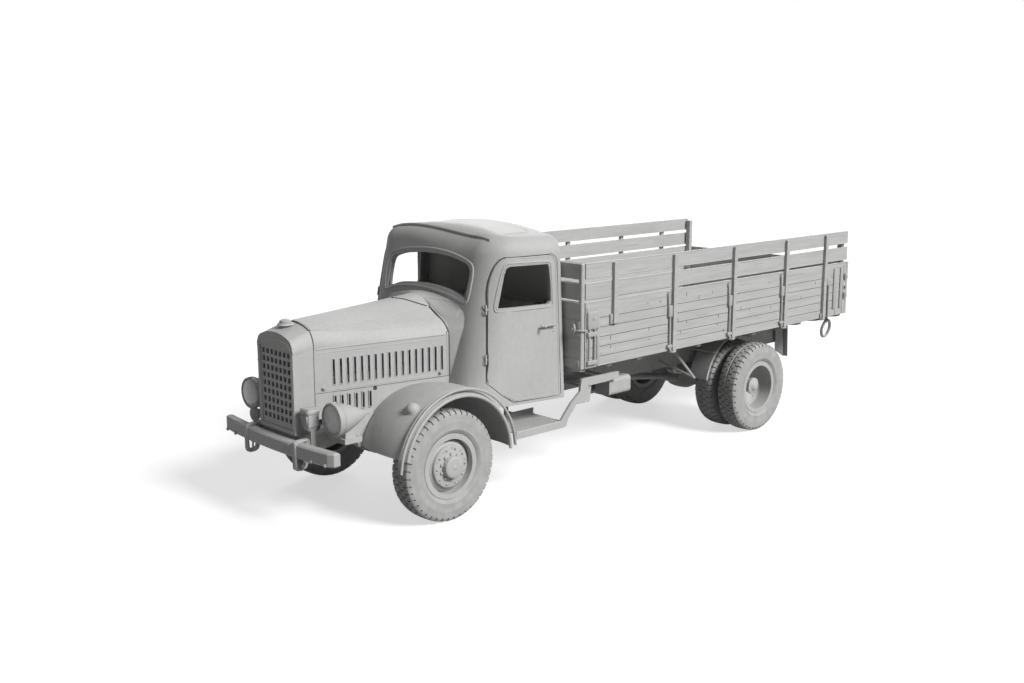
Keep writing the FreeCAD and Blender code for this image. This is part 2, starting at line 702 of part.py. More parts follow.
def seat():
    """Bench cushion and backrest, as plain soft blocks."""
    z = FLOOR_TOP
    y = FRONT_Y
    rear = y + CAB_REAR_Y - CAB_WALL
    rest = z + 270
    cushion = block(-820, 820, y + 860, rear - 128, rest, rest + 130)
    cushion = cushion.makeFillet(30.0, cushion.Edges)
    back = along_x([(rear - 124, rest), (rear - 24, rest), (rear - CLEAR, rest + 560),
                    (rear - 80, rest + 560)],
                   -820, 820)
    back = back.makeFillet(24.0, back.Edges)
    base = block(-800, 800, y + 900, rear - FIT, z + FIT, rest - FIT)
    return Part.makeCompound([cushion, back, base])


# Engine and drive line

ENGINE_HALF = 200.0
GEARBOX_Z = FRAME_Z - 112.0
GEARBOX_END = 1030.0


def engine_block():
    """Engine and gearbox as one plain mass on four arms in the frame."""
    y = FRONT_Y
    body = block(-ENGINE_HALF, ENGINE_HALF, y - 820, y + 330, RAIL_Z + 20, FRAME_Z + 330)
    head = block(-110, 110, y - 800, y + 300, FRAME_Z + 330, FRAME_Z + 520)
    sump = block(-130, 130, y - 700, y + 150, RAIL_Z - 70, RAIL_Z + 20)
    gearbox = Part.makeCone(150, 100, GEARBOX_END - 330, Vector(0, y + 330, GEARBOX_Z), Vector(0, 1, 0))
    arms = [block(-FRAME_HALF + FRAME_T + FIT, FRAME_HALF - FRAME_T - FIT, y + at, y + at + 70,
                  RAIL_Z + 60, RAIL_Z + 110) for at in (-640, 180)]
    return joined([body, head, sump, gearbox] + arms)


def front_axle():
    """A forged I-section beam, dropped in the middle, with an eye for the kingpin at each end."""
    y = FRONT_Y
    low, high = AXLE_Z - 90.0, AXLE_Z - 20.0
    outline = [(-560, low), (560, low), (690, AXLE_Z - 45), (KINGPIN_X, AXLE_Z - 45),
               (KINGPIN_X, AXLE_Z + 45),
               (690, AXLE_Z + 45), (520, high), (-520, high), (-690, AXLE_Z + 45), (-KINGPIN_X, AXLE_Z + 45),
               (-KINGPIN_X, AXLE_Z - 45), (-690, AXLE_Z - 45)]
    beam = along_y(outline, y - 38, y + 38)
    web = [(-540, low + 16), (540, low + 16), (640, AXLE_Z - 38), (640, AXLE_Z + 14), (520, high - 16),
           (-520, high - 16), (-640, AXLE_Z + 14), (-640, AXLE_Z - 38)]
    for side in (-1, 1):
        beam = beam.cut(along_y(web, y + side * 38 - 24, y + side * 38 + 24))
    pads = [block(s * RAIL_MID - 45, s * RAIL_MID + 45, y - 60, y + 60, high - 16, high + 10)
            for s in (-1, 1)]
    eyes = [Part.makeCylinder(42, 90, Vector(s * KINGPIN_X, y, AXLE_Z - 45)) for s in (-1, 1)]
    bores = [Part.makeCylinder(KINGPIN_R + FIT, 200, Vector(s * KINGPIN_X, y, AXLE_Z - 100))
             for s in (-1, 1)]
    solid = joined([beam] + pads + eyes)
    for bore in bores:
        solid = solid.cut(bore)
    return solid


def leaf_pack(y, half, seat_z, leaves, x):
    """A stack of curved leaves, longest on top, with rolled eyes at the ends of the longest."""
    t = 11.0
    rise = EYE_Z - EYE_R - seat_z - leaves * t
    radius = (half * half + rise * rise) / (2 * rise)
    zc = seat_z + leaves * t + radius
    solids = []
    for i in range(leaves):
        reach = half * (1 - 0.8 * i / leaves)
        inner, outer = radius + t * i - 0.01, radius + t * (i + 1)
        angle = math.asin(reach / radius)

        def at(r, a):
            return (y + r * math.sin(a), zc - r * math.cos(a))
        band = [at(inner, -angle), at(inner, 0) + (1,), at(inner, angle), at(outer, angle),
                at(outer, 0) + (1,), at(outer, -angle)]
        solids.append(along_x(band, x - SPRING_W / 2, x + SPRING_W / 2))
    for side in (-1, 1):
        eye = rod((x - SPRING_W / 2, y + side * half, EYE_Z), (x + SPRING_W / 2, y + side * half, EYE_Z),
                  EYE_R)
        solids.append(eye)
    pack = joined(solids)
    for side in (-1, 1):
        pack = pack.cut(rod((x - 100, y + side * half, EYE_Z), (x + 100, y + side * half, EYE_Z),
                            11.0 + FIT))
    clamps = [block(x - 52, x + 52, y + s * 70 - 9, y + s * 70 + 9, seat_z + FIT, seat_z + leaves * t + 26)
              for s in (-1, 1)]
    return joined([pack] + clamps)


FRONT_SEAT_Z = AXLE_Z - 10.0
REAR_SEAT_Z = AXLE_Z + 76.0


def leaf_springs():
    front = leaf_pack(FRONT_Y, FRONT_SPRING_HALF, FRONT_SEAT_Z, 8, RAIL_MID)
    rear = leaf_pack(REAR_Y, REAR_SPRING_HALF, REAR_SEAT_Z, 5, RAIL_MID)
    return Part.makeCompound([front, rear, mirrored(front), mirrored(rear)])


HUB_FACE_X = (TWIN_OUTER_X + TWIN_INNER_X) / 2


def rear_axle():
    """Banjo housing with its cover, tubes, spring seats, brake plates and spindles."""
    y, z = REAR_Y, AXLE_Z
    reach = TWIN_OUTER_X + 30.0
    tube_end = TWIN_INNER_X - 118.0
    profile = [(-reach, 0), (-reach, SPINDLE_R), (-tube_end, SPINDLE_R), (-tube_end, 66), (-330, 72),
               (-200, 130),
               (-110, 176), (0, 186, 1), (110, 176), (200, 130), (330, 72), (tube_end, 66),
               (tube_end, SPINDLE_R), (reach, SPINDLE_R), (reach, 0)]
    body = turned(profile, y, z)
    nose = Part.makeCone(110, 62, 190, Vector(0, y - 130, z), Vector(0, -1, 0))
    cover = Part.makeCylinder(150, 40, Vector(0, y + 150, z), Vector(0, 1, 0))
    solids = [body, nose, cover]
    for s in (-1, 1):
        solids.append(block(s * RAIL_MID - 48, s * RAIL_MID + 48, y - 78, y + 78, z + 30, REAR_SEAT_Z))
        plate = Part.makeCylinder(DRUM_R - 6, 8, Vector(s * tube_end - 4, y, z), Vector(1, 0, 0))
        solids.append(plate)
    return joined(solids)


def propeller_shaft():
    start = (0, FRONT_Y + GEARBOX_END + FIT, GEARBOX_Z)
    bend = (0, FRONT_Y + CROSS_AT[1], RAIL_Z + 35)
    end = (0, REAR_Y - 322, AXLE_Z)
    hanger = block(-34, 34, bend[1] - 22, bend[1] + 22, bend[2], FRAME_Z - FRAME_T - 7 - FIT)
    tubes = [rod(start, bend, 38.0), rod(bend, end, 38.0), Part.makeSphere(56, Vector(*bend)), hanger]
    yokes = [Part.makeSphere(50, Vector(*p)) for p in (start, end)]
    cuts = [block(-80, 80, start[1] - 80, start[1], start[2] - 80, start[2] + 80),
            block(-80, 80, end[1] + 1, end[1] + 80, end[2] - 80, end[2] + 80)]
    solid = joined(tubes + yokes)
    for tool in cuts:
        solid = solid.cut(tool)
    return solid


# Steering knuckles

def knuckle():
    """Left steering knuckle: two ears on the kingpin, brake plate, spindle and steering arm."""
    y, z = FRONT_Y, AXLE_Z
    pin = Part.makeCylinder(KINGPIN_R, 170, Vector(KINGPIN_X, y, z - 85))
    ears = []
    for low in (z - 79, z + 47):
        ear = Part.makeCylinder(40, 32, Vector(KINGPIN_X, y, low))
        ears.append(joined([ear, block(KINGPIN_X, PLATE_X, y - 36, y + 36, low, low + 32)]))
    base = block(PLATE_X - 14, PLATE_X, y - 60, y + 60, z - 79, z + 79)
    plate = Part.makeCylinder(DRUM_R - 6, 8, Vector(PLATE_X, y, z), Vector(1, 0, 0))
    spindle = Part.makeCylinder(SPINDLE_R, SPINDLE_END - PLATE_X, Vector(PLATE_X, y, z), Vector(1, 0, 0))
    arm_z = z - 79
    arm = joined([along_z([(KINGPIN_X - 20, y), (KINGPIN_X + 30, y), (KINGPIN_X + 14, y + STEER_ARM),
                           (KINGPIN_X - 14, y + STEER_ARM)], arm_z, arm_z + 24),
                  Part.makeCylinder(24, 24, Vector(KINGPIN_X, y + STEER_ARM, arm_z))])
    arm = arm.cut(Part.makeCylinder(9 + FIT, 60, Vector(KINGPIN_X, y + STEER_ARM, arm_z - 20)))
    return joined([pin, base, plate, spindle, arm] + ears)


PLATE_X = FRONT_TYRE_X - 100.0
SPINDLE_END = FRONT_TYRE_X + 88.0


def tie_rod():
    """The track rod between the two steering arms, with a pin at each end."""
    y, z = FRONT_Y + STEER_ARM, AXLE_Z - 79 - 24
    ends = []
    for s in (-1, 1):
        boss = Part.makeCylinder(22, 23, Vector(s * KINGPIN_X, y, z))
        pin = Part.makeCylinder(9, 54, Vector(s * KINGPIN_X, y, z))
        ends.append(joined([boss, pin]))
    bar = rod((-KINGPIN_X, y, z + 11.5), (KINGPIN_X, y, z + 11.5), 11.0)
    return joined([bar] + ends)


# Wheels

def tyre(x):
    """A block-shouldered tyre with its sidewalls bulging over the rim."""
    h = TYRE_W / 2
    r = TYRE_R
    bead = h - BEAD_IN
    return [(x - bead, RIM_R + FIT), (x - bead, RIM_LIP_R + 3), (x - h + 14, RIM_LIP_R + 12),
            (x - h, r - 112, 1),
            (x - h + 9, r - 30), (x - h + 40, r - 4), (x, r, 1), (x + h - 40, r - 4), (x + h - 9, r - 30),
            (x + h, r - 112, 1), (x + h - 14, RIM_LIP_R + 12), (x + bead, RIM_LIP_R + 3),
            (x + bead, RIM_R + FIT)]


def rim_profile(x):
    """The rim's barrel and its two curled flanges, as an (x, radius) outline."""
    h = TYRE_W / 2 - BEAD_IN + FIT
    t = RIM_WALL
    lip = RIM_LIP_R
    return [(x - h - t, lip - t / 2), (x - h - t / 2, lip, 1), (x - h, lip - t / 2), (x - h, RIM_R),
            (x + h, RIM_R),
            (x + h, lip - t / 2), (x + h + t / 2, lip, 1), (x + h + t, lip - t / 2), (x + h + t, RIM_R - t),
            (x - h - t, RIM_R - t)]


def disc_profile(x_rim, x_face, hub_r):
    """A dished wheel disc from the rim's barrel to the bolting face."""
    t = RIM_WALL
    r = RIM_R - t / 2
    k = 1 if x_face > x_rim else -1
    mid = x_rim + 0.72 * (x_face - x_rim)
    return [(x_rim, r), (mid, 200.0, 1), (x_face, 150.0), (x_face, hub_r), (x_face - k * t, hub_r),
            (x_face - k * t, 148.0), (mid - k * t, 196.0, 1), (x_rim - k * t, r)]


def studs(x0, x1, y, z, count, pitch_r, radius):
    out = []
    for k in range(count):
        a = 2 * math.pi * (k + 0.5) / count
        out.append(rod((x0, y + pitch_r * math.cos(a), z + pitch_r * math.sin(a)),
                       (x1, y + pitch_r * math.cos(a), z + pitch_r * math.sin(a)), radius))
    return out


def front_rim():
    """Front wheel with its convex disc, brake drum, hub and domed cap."""
    y, z = FRONT_Y, AXLE_Z
    x = FRONT_TYRE_X
    face = x + 96.0
    rim = turned(rim_profile(x), y, z)
    disc = turned(disc_profile(x + 20, face, 60.0), y, z)
    drum_in = PLATE_X + 8 + CLEAR
    hub = turned([(drum_in, DRUM_R), (x + 10, DRUM_R), (x + 22, DRUM_R - 12), (x + 22, 96), (face - 9, 96),
                  (face - 9, 60)] + dome(face + 26, 60, face + 70) + [(SPINDLE_END + CLEAR, 0),
                  (SPINDLE_END + CLEAR, SPINDLE_R + FIT), (x + 8, SPINDLE_R + FIT), (x + 8, DRUM_R - 12),
                  (drum_in, DRUM_R - 12)], y, z)
    nuts = studs(face - 5, face + 20, y, z, 10, 118.0, 13.0)
    return joined([rim, disc, hub] + nuts)


def front_tyre():
    return turned(tyre(FRONT_TYRE_X), FRONT_Y, AXLE_Z)


def rear_rims():
    """Twin rims with opposed dishes, bolted together to the hub between them."""
    y, z = REAR_Y, AXLE_Z
    inner, outer = TWIN_INNER_X, TWIN_OUTER_X
    rims = [turned(rim_profile(x), y, z) for x in (inner, outer)]
    discs = [turned(disc_profile(inner + 40, HUB_FACE_X, 60.0), y, z),
             turned(disc_profile(outer - 40, HUB_FACE_X, 60.0), y, z)]
    drum_in = inner - 118.0 + 4 + CLEAR
    cap = outer + 66.0
    hub = turned([(drum_in, DRUM_R), (inner + 20, DRUM_R), (inner + 34, DRUM_R - 14), (inner + 34, 90),
                  (HUB_FACE_X - 12, 90), (HUB_FACE_X - 12, 165), (HUB_FACE_X + 12, 165),
                  (HUB_FACE_X + 12, 88),
                  (cap - 60, 78), (cap - 60, 96), (cap - 34, 96)] + dome(cap - 24, 60, cap + 2) + [
                  (outer + 30 + CLEAR, 0), (outer + 30 + CLEAR, SPINDLE_R + FIT),
                  (inner + 20, SPINDLE_R + FIT),
                  (inner + 20, DRUM_R - 14), (drum_in, DRUM_R - 14)], y, z)
    nuts = studs(HUB_FACE_X + 5, HUB_FACE_X + 34, y, z, 10, 128.0, 13.0)
    return joined(rims + discs + [hub] + nuts)


def rear_tyres():
    return Part.makeCompound([turned(tyre(x), REAR_Y, AXLE_Z) for x in (TWIN_INNER_X, TWIN_OUTER_X)])


# Wings, lamps, steps

def fender():
    """The left front wing: a sloping dome with a rolled lip, and the apron beside the engine."""
    y, z = FRONT_Y + ARCH_Y, ARCH_Z
    t = FENDER_T
    r = FENDER_R
    lip = [(1112, r - 46), (1135, r - 62, 1), (1112, r - 76), (1106, r - 70), (1124, r - 61, 1),
           (1106, r - 51)]
    dome = turned(arch_line(0.0) + lip + arch_line(-t)[::-1], y, z, 166.0, 1.5)
    half0, half1 = bonnet_half(-760.0), bonnet_half(SEAM_REAR)
    y0, y1 = FRONT_Y - 760.0, FRONT_Y + SEAM_REAR
    engine_room = along_z([(0, y0 - 400), (half0 - 400 * 0.17, y0 - 400), (half1, y1), (half1, y1 + 400),
                           (0, y1 + 400)],
                          FRAME_Z + FIT, FRAME_Z + 600)
    frame_room = block(0, FRAME_HALF + 20, y - 900, y + 900, 0, FRAME_Z + FIT)
    dome = dome.cut(engine_room).cut(frame_room)
    side = along_z([(half0, y0), (half1, y1 - CLEAR), (half1 - 6, y1 - CLEAR), (half0 - 6, y0)],
                   FRAME_Z + FIT, BONNET_LOW - CLEAR)
    slots = []
    for k in range(6):
        at = FRONT_Y - 745.0 + 67.7 * k
        slots.append(block(200, 700, at - 11, at + 11, FRAME_Z + 55, FRAME_Z + 200))
    side = side.cut(Part.makeCompound(slots)).cut(cab_block(-CLEAR))
    foot = block(FRAME_HALF - 60, 556, FRONT_Y - 330, FRONT_Y + 215, FRAME_Z + FIT, FRAME_Z + 8)
    return joined([dome, side, foot])


LAMP_R = 146.0


def lamp(x, y, z, radius, length):
    """A head lamp: round body drawn to a point at the back, double rim, flat glass."""
    profile = [(0, 0), (0, radius - 14), (4, radius - 14), (4, radius), (16, radius + 2), (28, radius),
               (28, radius - 8),
               (40, radius - 2), (52, radius - 6), (length * 0.6, radius * 0.62, 1), (length, 12),
               (length, 0)]
    centre = Vector(x, y, z)
    face = Part.Face(path(profile, lambda a, b: Vector(x + b, y + a, z)))
    return face.revolve(centre, Vector(0, 1, 0), 360)


def headlamps():
    y = FRONT_Y
    z = FRAME_Z + 90.0
    body = lamp(670, y - 1010, z, LAMP_R, 350)
    stem = block(640, 700, y - 900, y - 800, z - 190, z - 80)
    foot = block(FRAME_HALF + FIT, 720, y - 920, y - 740, z - 230, z - 185)
    left = joined([body, stem, foot])
    x = FRAME_HALF
    hood = block(x - 78, x + 40, y - 1120, y - 1000, z + 20, z + 66)
    body = block(x - 72, x + 34, y - 1112, y - 1006, z - 90, z + 20)
    post = block(x + FIT, x + 14, y - 1080, y - 1030, RAIL_Z + 10, z - 90)
    slit = joined([hood, body, post])
    return Part.makeCompound([left, mirrored(left), slit])


STEP_Z = AXLE_Z + 190.0
STEP_OUT = 1130.0


def running_boards():
    """Pressed steps with a rolled edge, and the band that climbs from them along under the bed."""
    y0, y1 = FRONT_Y + ARCH_Y + FENDER_R + FIT, FRONT_Y + 1345.0
    z = STEP_Z
    tread = block(700, STEP_OUT, y0, y1, z - 8, z)
    edge = block(STEP_OUT - 8, STEP_OUT, y0, y1, z - 62, z)
    back = block(700, 708, y0, y1, z - 8, z + 60)
    line = ((1290, 0), (1321, 30), (1445, 163), (1570, 257), (1589, 374), (1639, 381), (2131, 376),
            (2141, 308),
            (1931, 299), (1683, 299), (1656, 242), (1529, 148), (1405, 14), (1378, -58), (1290, -58))
    band = along_x([(FRONT_Y + a, z + b) for a, b in line], STEP_OUT - 26, STEP_OUT)
    flap = along_x([(FRONT_Y + a, z + b) for a, b in ((1500, 130), (1690, 320), (1760, 320), (1735, 125))],
                   STEP_OUT - 38, STEP_OUT - 25)
    arms = []
    for at in (y0 + 120, y1 - 120):
        arms.append(along_y([(FRAME_HALF + FIT, RAIL_Z + 60), (FRAME_HALF + 14, RAIL_Z + 60),
                             (FRAME_HALF + 14, z - 8),
                             (1100, z - 8), (1100, z - 20), (700, z - 20), (FRAME_HALF + FIT, z - 70)],
                            at - 25, at + 25))
    for at in (FRONT_Y + 1740.0, FRONT_Y + 2030.0):
        arms.append(along_y([(FRAME_HALF + FIT, RAIL_Z + 120), (FRAME_HALF + FIT, RAIL_Z + 170),
                             (STEP_OUT - 20, z + 345), (STEP_OUT - 20, z + 320)], at - 16, at + 16))
    return joined([tread, edge, back, band, flap] + arms)


def side_tanks():
    """Air bottle and tool box hung from the left rail, fuel tank from the right rail."""
    y = FRONT_Y
    bottle = Part.makeCylinder(43, 365, Vector(800, y + 1965, RAIL_Z + 72), Vector(0, 1, 0))
    bottle = bottle.makeFillet(18.0, [e for e in bottle.Edges if e.Closed])
    straps = [block(FRAME_HALF + FIT, 812, y + at, y + at + 30, RAIL_Z + 108, RAIL_Z + 120)
              for at in (1975, 2260)]
    box = block(880, 1072, y + 2060, y + 2385, RAIL_Z + 50, RAIL_Z + 230)
    box = box.makeFillet(40.0, [e for e in box.Edges if e.BoundBox.YLength > 300 and e.BoundBox.XMax > 1000])
    bars = [block(FRAME_HALF + FIT, 1030, y + at, y + at + 40, RAIL_Z + 181, RAIL_Z + 193)
            for at in (2150, 2290)]
    tank = block(-1000, -FRAME_HALF - 60, y + 1700, y + 2680, RAIL_Z - 230, RAIL_Z + 110)
    tank = tank.makeFillet(70.0, [e for e in tank.Edges if e.BoundBox.YLength > 900])
    tank_arms = [block(-900, -FRAME_HALF - FIT, y + at, y + at + 50, RAIL_Z + 109, RAIL_Z + 122)
                 for at in (1825, 2505)]
    return Part.makeCompound([joined([bottle] + straps), joined([box] + bars), joined([tank] + tank_arms)])


def exhaust():
    """Silencer and pipe along the right rail's inside."""
    y = FRONT_Y
    x = -290.0
    z = RAIL_Z - 80.0
    front = y - 100.0
    pipe = rod((x, front, z), (x, y + 3600, z), 30.0)
    can = Part.makeCylinder(88, 800, Vector(x, y + 1900, z), Vector(0, 1, 0))
    can = can.makeFillet(30.0, [e for e in can.Edges if e.Closed])
    port = (x, front - 220, RAIL_Z + 150)
    down = rod((x, front, z), port, 30.0)
    flange = rod(port, (-ENGINE_HALF - FIT, port[1], port[2]), 30.0)
    elbows = [Part.makeSphere(30, Vector(*port)), Part.makeSphere(30, Vector(x, front, z))]
    hangers = [block(x - 20, x + 20, y + at - 15, y + at + 15, z, FRAME_Z - FRAME_T - 7 - FIT)
               for at in CROSS_AT[1:3]]
    return joined([pipe, can, down, flange] + elbows + hangers)


def rear_mudguard():
    """A narrow curved guard over the left inner tyre, on one stay from the rail and one from the bed."""
    y, z = REAR_Y, AXLE_Z
    r = TYRE_R + 70.0
    guard = turned([(560, r), (800, r), (806, r - 12), (812, r - 12), (805, r + 5), (560, r + 5)], y, z,
                   108.0, 60.0)
    solids = [guard]
    for start, angle in ((FRAME_HALF + FIT, 135.0), (RAIL_MID + RUNNER_HALF + FIT, 75.0)):
        a = math.radians(angle)
        at = (y + (r + 12) * math.cos(a), z + (r + 12) * math.sin(a))
        solids.append(rod((start, *at), (790, *at), 13.0))
    return joined(solids)


# Bed

def bearer_places():
    """Where the cross bearers lie: at both ends, under each post and midway between posts."""
    stops = [BED_Y + BOARD_T + BEARER_W / 2 + FIT] + [BED_Y + at for at in POST_AT] + [BED_END - 60.0]
    between = [(a + b) / 2 for a, b in zip(stops, stops[1:])]
    return sorted(stops + between[1:-1])


SIDE_HINGE_X = BED_HALF + 19.0
SIDE_HINGE_Z = SIDE_Z - 14.0


def side_hinge_fixed(y):
    """Two lugs on a bearer's end with the pin between them."""
    lugs = []
    for s in (-1, 1):
        lug = along_y([(BEARER_HALF, SIDE_HINGE_Z - 14), (SIDE_HINGE_X, SIDE_HINGE_Z - 12),
                       (SIDE_HINGE_X + 12, SIDE_HINGE_Z, 1), (SIDE_HINGE_X, SIDE_HINGE_Z + 12),
                       (SIDE_HINGE_X - 24, SIDE_HINGE_Z + 8), (BEARER_HALF, SIDE_HINGE_Z + 8)],
                      y + s * 25 - 8, y + s * 25 + 8)
        lugs.append(lug)
    pin = rod((SIDE_HINGE_X, y - 33, SIDE_HINGE_Z), (SIDE_HINGE_X, y + 33, SIDE_HINGE_Z), 6.0)
    return joined(lugs + [pin])


RUNNER_HALF = 40.0


def bed_frame():
    """The two timber runners that lie on the frame's rails."""
    return both(block(RAIL_MID - RUNNER_HALF, RAIL_MID + RUNNER_HALF, BED_Y + 20, BED_END - 20,
                      FRAME_Z + FIT, BEARER_Z))


def bed_bearers():
    """The cross bearers on the runners, with the rear corner posts on the last one."""
    half = BEARER_HALF
    outline = [(-half, BEARER_Z + 40), (-half + 260, BEARER_Z), (half - 260, BEARER_Z),
               (half, BEARER_Z + 40),
               (half, BEARER_Z + BEARER_H), (-half, BEARER_Z + BEARER_H)]
    bearers = [along_y(outline, y - BEARER_W / 2, y + BEARER_W / 2) for y in bearer_places()]
    post = block(half - 62, half - 2, BED_END - 62, BED_END - CLEAR, BEARER_Z + 50, SIDE_Z + STAKE_TOP - 20)
    bearers[-1] = joined([bearers[-1], post, mirrored(post)])
    return Part.makeCompound(bearers)


def bed_hinges():
    """The drop sides' and tailgate's fixed hinge lugs, face to face with the bearers' ends."""
    sides = [side_hinge_fixed(BED_Y + at) for at in POST_AT[1:]]
    tails = [tail_hinge_fixed(x) for x in TAIL_HINGES]
    return Part.makeCompound(sides + [mirrored(s) for s in sides] + tails)


def bed_floor():
    """Lengthwise floor boards in one plate with grooves, notched round the rear corner posts."""
    half = BEARER_HALF
    plate = block(-half, half, BED_Y + BOARD_T + FIT, BED_END - CLEAR, FLOOR_Z - FLOOR_T + FIT, FLOOR_Z)
    boards = 12
    pitch = 2 * half / boards
    grooves = [block(-half + pitch * k - 2, -half + pitch * k + 2, BED_Y, BED_END + 1, FLOOR_Z - 6,
                     FLOOR_Z + 1)
               for k in range(1, boards)]
    notches = [block(s * (half - 32) - 33, s * (half - 32) + 33, BED_END - 65, BED_END + 5, FLOOR_Z - 100,
                     FLOOR_Z + 5)
               for s in (-1, 1)]
    return plate.cut(Part.makeCompound(grooves + notches))


PLANKS = 6
TOP_PLANK = 160.0
STAKE_1 = (667.0, 822.0)
STAKE_2 = (867.0, 1013.0)


def plank_lines(height):
    """Heights of the grooves between the planks, above the board's lower edge."""
    lower = (height - TOP_PLANK) / (PLANKS - 1)
    return [lower * k for k in range(1, PLANKS)]


def planked(x0, x1, y0, y1, z0, height, thin_x):
    """A boarded panel with a groove on both faces at each plank joint."""
    panel = block(x0, x1, y0, y1, z0, z0 + height)
    grooves = []
    for line in plank_lines(height):
        z = z0 + line
        if thin_x:
            grooves += [block(x0 - 1, x0 + 6, y0 - 1, y1 + 1, z - 2, z + 2),
                        block(x1 - 6, x1 + 1, y0 - 1, y1 + 1, z - 2, z + 2)]
        else:
            grooves += [block(x0 - 1, x1 + 1, y0 - 1, y0 + 6, z - 2, z + 2),
                        block(x0 - 1, x1 + 1, y1 - 6, y1 + 1, z - 2, z + 2)]
    return panel.cut(Part.makeCompound(grooves))


CORNER_POST = 50.0


def headboard():
    """The fixed front wall: planks, two stake boards above and a rounded post at each corner."""
    y0 = BED_Y
    half = BED_HALF - BOARD_T
    wall = planked(-half, half, y0, y0 + BOARD_T, SIDE_Z, SIDE_H, False)
    boards = [block(-half, half, y0, y0 + BOARD_T - 8, SIDE_Z + a, SIDE_Z + b)
              for a, b in (STAKE_1, STAKE_2)]
    posts = []
    for s in (-1, 1):
        x0, x1 = (half, BED_HALF) if s > 0 else (-BED_HALF, -half)
        post = block(x0, x1, y0, y0 + CORNER_POST, SIDE_Z, SIDE_Z + STAKE_TOP)
        rounded = [e for e in post.Edges if e.BoundBox.ZLength > 500
                   and abs(abs(e.BoundBox.XMax) - BED_HALF) < 1]
        posts.append(post.makeFillet(14.0, rounded))
    stiffeners = [block(x - 30, x + 30, y0 + BOARD_T - 8, y0 + BOARD_T + 26, FLOOR_Z + FIT,
                        SIDE_Z + STAKE_TOP - 10)
                  for x in (-700, 0, 700)]
    return joined([wall] + boards + posts + stiffeners)


def dropside():
    """The left drop side: six planks with bevelled ends and an iron strap at each end."""
    y0, y1 = BED_Y + CORNER_POST + CLEAR, BED_END - CLEAR
    panel = planked(BED_HALF - BOARD_T, BED_HALF, y0, y1, SIDE_Z, SIDE_H, True)
    straps = [block(BED_HALF, BED_HALF + 6, y - 22, y + 22, SIDE_Z + 10, SIDE_Z + SIDE_H - 40) for y in
              (y0 + 40, y1 - 190, y1 - 40)]
    return joined([panel] + straps)


def stake_rack():
    """The left stake boards on their five posts. Four posts end below in the side's hinge eyes."""
    y0, y1 = BED_Y + CORNER_POST + CLEAR, BED_END - CLEAR
    x = BED_HALF
    boards = [block(x - BOARD_T + 6, x, y0, y1, SIDE_Z + a, SIDE_Z + b) for a, b in (STAKE_1, STAKE_2)]
    posts = []
    for k, at in enumerate(POST_AT):
        y = BED_Y + at
        low = SIDE_Z + (400.0 if k == 0 else 8.0)
        post = block(x + FIT, x + POST_T, y - POST_W / 2, y + POST_W / 2, low, SIDE_Z + STAKE_TOP - 15)
        bolts = [rod((x - 8, y, SIDE_Z + a + 60), (x + 6, y, SIDE_Z + a + 60), 8.0)
                 for a in (STAKE_1[0], STAKE_2[0])]
        posts.append(joined([post] + bolts))
        if k:
            eye = rod((SIDE_HINGE_X, y - 14, SIDE_HINGE_Z), (SIDE_HINGE_X, y + 14, SIDE_HINGE_Z), EYE_OUT)
            tongue = block(SIDE_HINGE_X - 12, SIDE_HINGE_X + 12, y - 14, y + 14, SIDE_HINGE_Z, SIDE_Z + 12)
            posts[-1] = joined([posts[-1], eye, tongue]).cut(
                rod((SIDE_HINGE_X, y - 50, SIDE_HINGE_Z), (SIDE_HINGE_X, y + 50, SIDE_HINGE_Z), 6.0 + FIT))
    return joined(boards + posts)


TAIL_HINGES = (-800.0, 0.0, 800.0)
TAIL_Y = BED_END + BOARD_T + STRAP_T
TAIL_Z = SIDE_Z - 14.0


def tail_hinge_fixed(x):
    lugs = []
    for s in (-1, 1):
        lugs.append(along_x([(BED_END - 25, TAIL_Z - 12), (TAIL_Y, TAIL_Z - 12), (TAIL_Y + 12, TAIL_Z, 1),
                             (TAIL_Y, TAIL_Z + 12), (TAIL_Y - 24, TAIL_Z + 8), (BED_END - 25, TAIL_Z + 8)],
                            x + s * 25 - 8, x + s * 25 + 8))
    return joined(lugs + [rod((x - 33, TAIL_Y, TAIL_Z), (x + 33, TAIL_Y, TAIL_Z), 6.0)])


def tailgate():
    """The rear flap: six planks on three hinge straps."""
    half = BED_HALF
    panel = planked(-half, half, BED_END, BED_END + BOARD_T, SIDE_Z, SIDE_H, False)
    solids = [panel]
    for x in TAIL_HINGES:
        back = BED_END + BOARD_T
        strap = block(x - 27, x + 27, back - 1, back + STRAP_T, SIDE_Z + 8, SIDE_Z + SIDE_H - 60)
        eye = rod((x - 14, TAIL_Y, TAIL_Z), (x + 14, TAIL_Y, TAIL_Z), EYE_OUT)
        tongue = block(x - 14, x + 14, TAIL_Y - 12, TAIL_Y, TAIL_Z, SIDE_Z + 20)
        hinge = joined([strap, eye, tongue]).cut(rod((x - 50, TAIL_Y, TAIL_Z), (x + 50, TAIL_Y, TAIL_Z),
                                                     6.0 + FIT))
        solids.append(hinge)
    return joined(solids)


# Writing

os.makedirs("parts", exist_ok=True)

for name, make in (("chassis_frame", chassis_frame), ("front_bumper", front_bumper),
                   ("radiator_shell", radiator_shell), ("radiator_grille", radiator_grille),
                   ("radiator_core", radiator_core),
                   ("hood_center", hood_center), ("cab_shell", cab_shell), ("cab_roof", cab_roof),
                   ("cab_floor", cab_floor), ("dashboard", dashboard), ("steering_column", steering_column),
                   ("steering_wheel", steering_wheel), ("seat", seat), ("engine_block", engine_block),
                   ("front_axle", front_axle), ("leaf_springs", leaf_springs), ("rear_axle", rear_axle),
                   ("propeller_shaft", propeller_shaft), ("tie_rod", tie_rod), ("headlamps", headlamps),
                   ("side_tanks", side_tanks), ("exhaust", exhaust), ("bed_frame", bed_frame),
                   ("bed_bearers", bed_bearers), ("bed_hinges", bed_hinges),
                   ("bed_floor", bed_floor), ("headboard", headboard), ("tailgate", tailgate)):
    save(name, make())

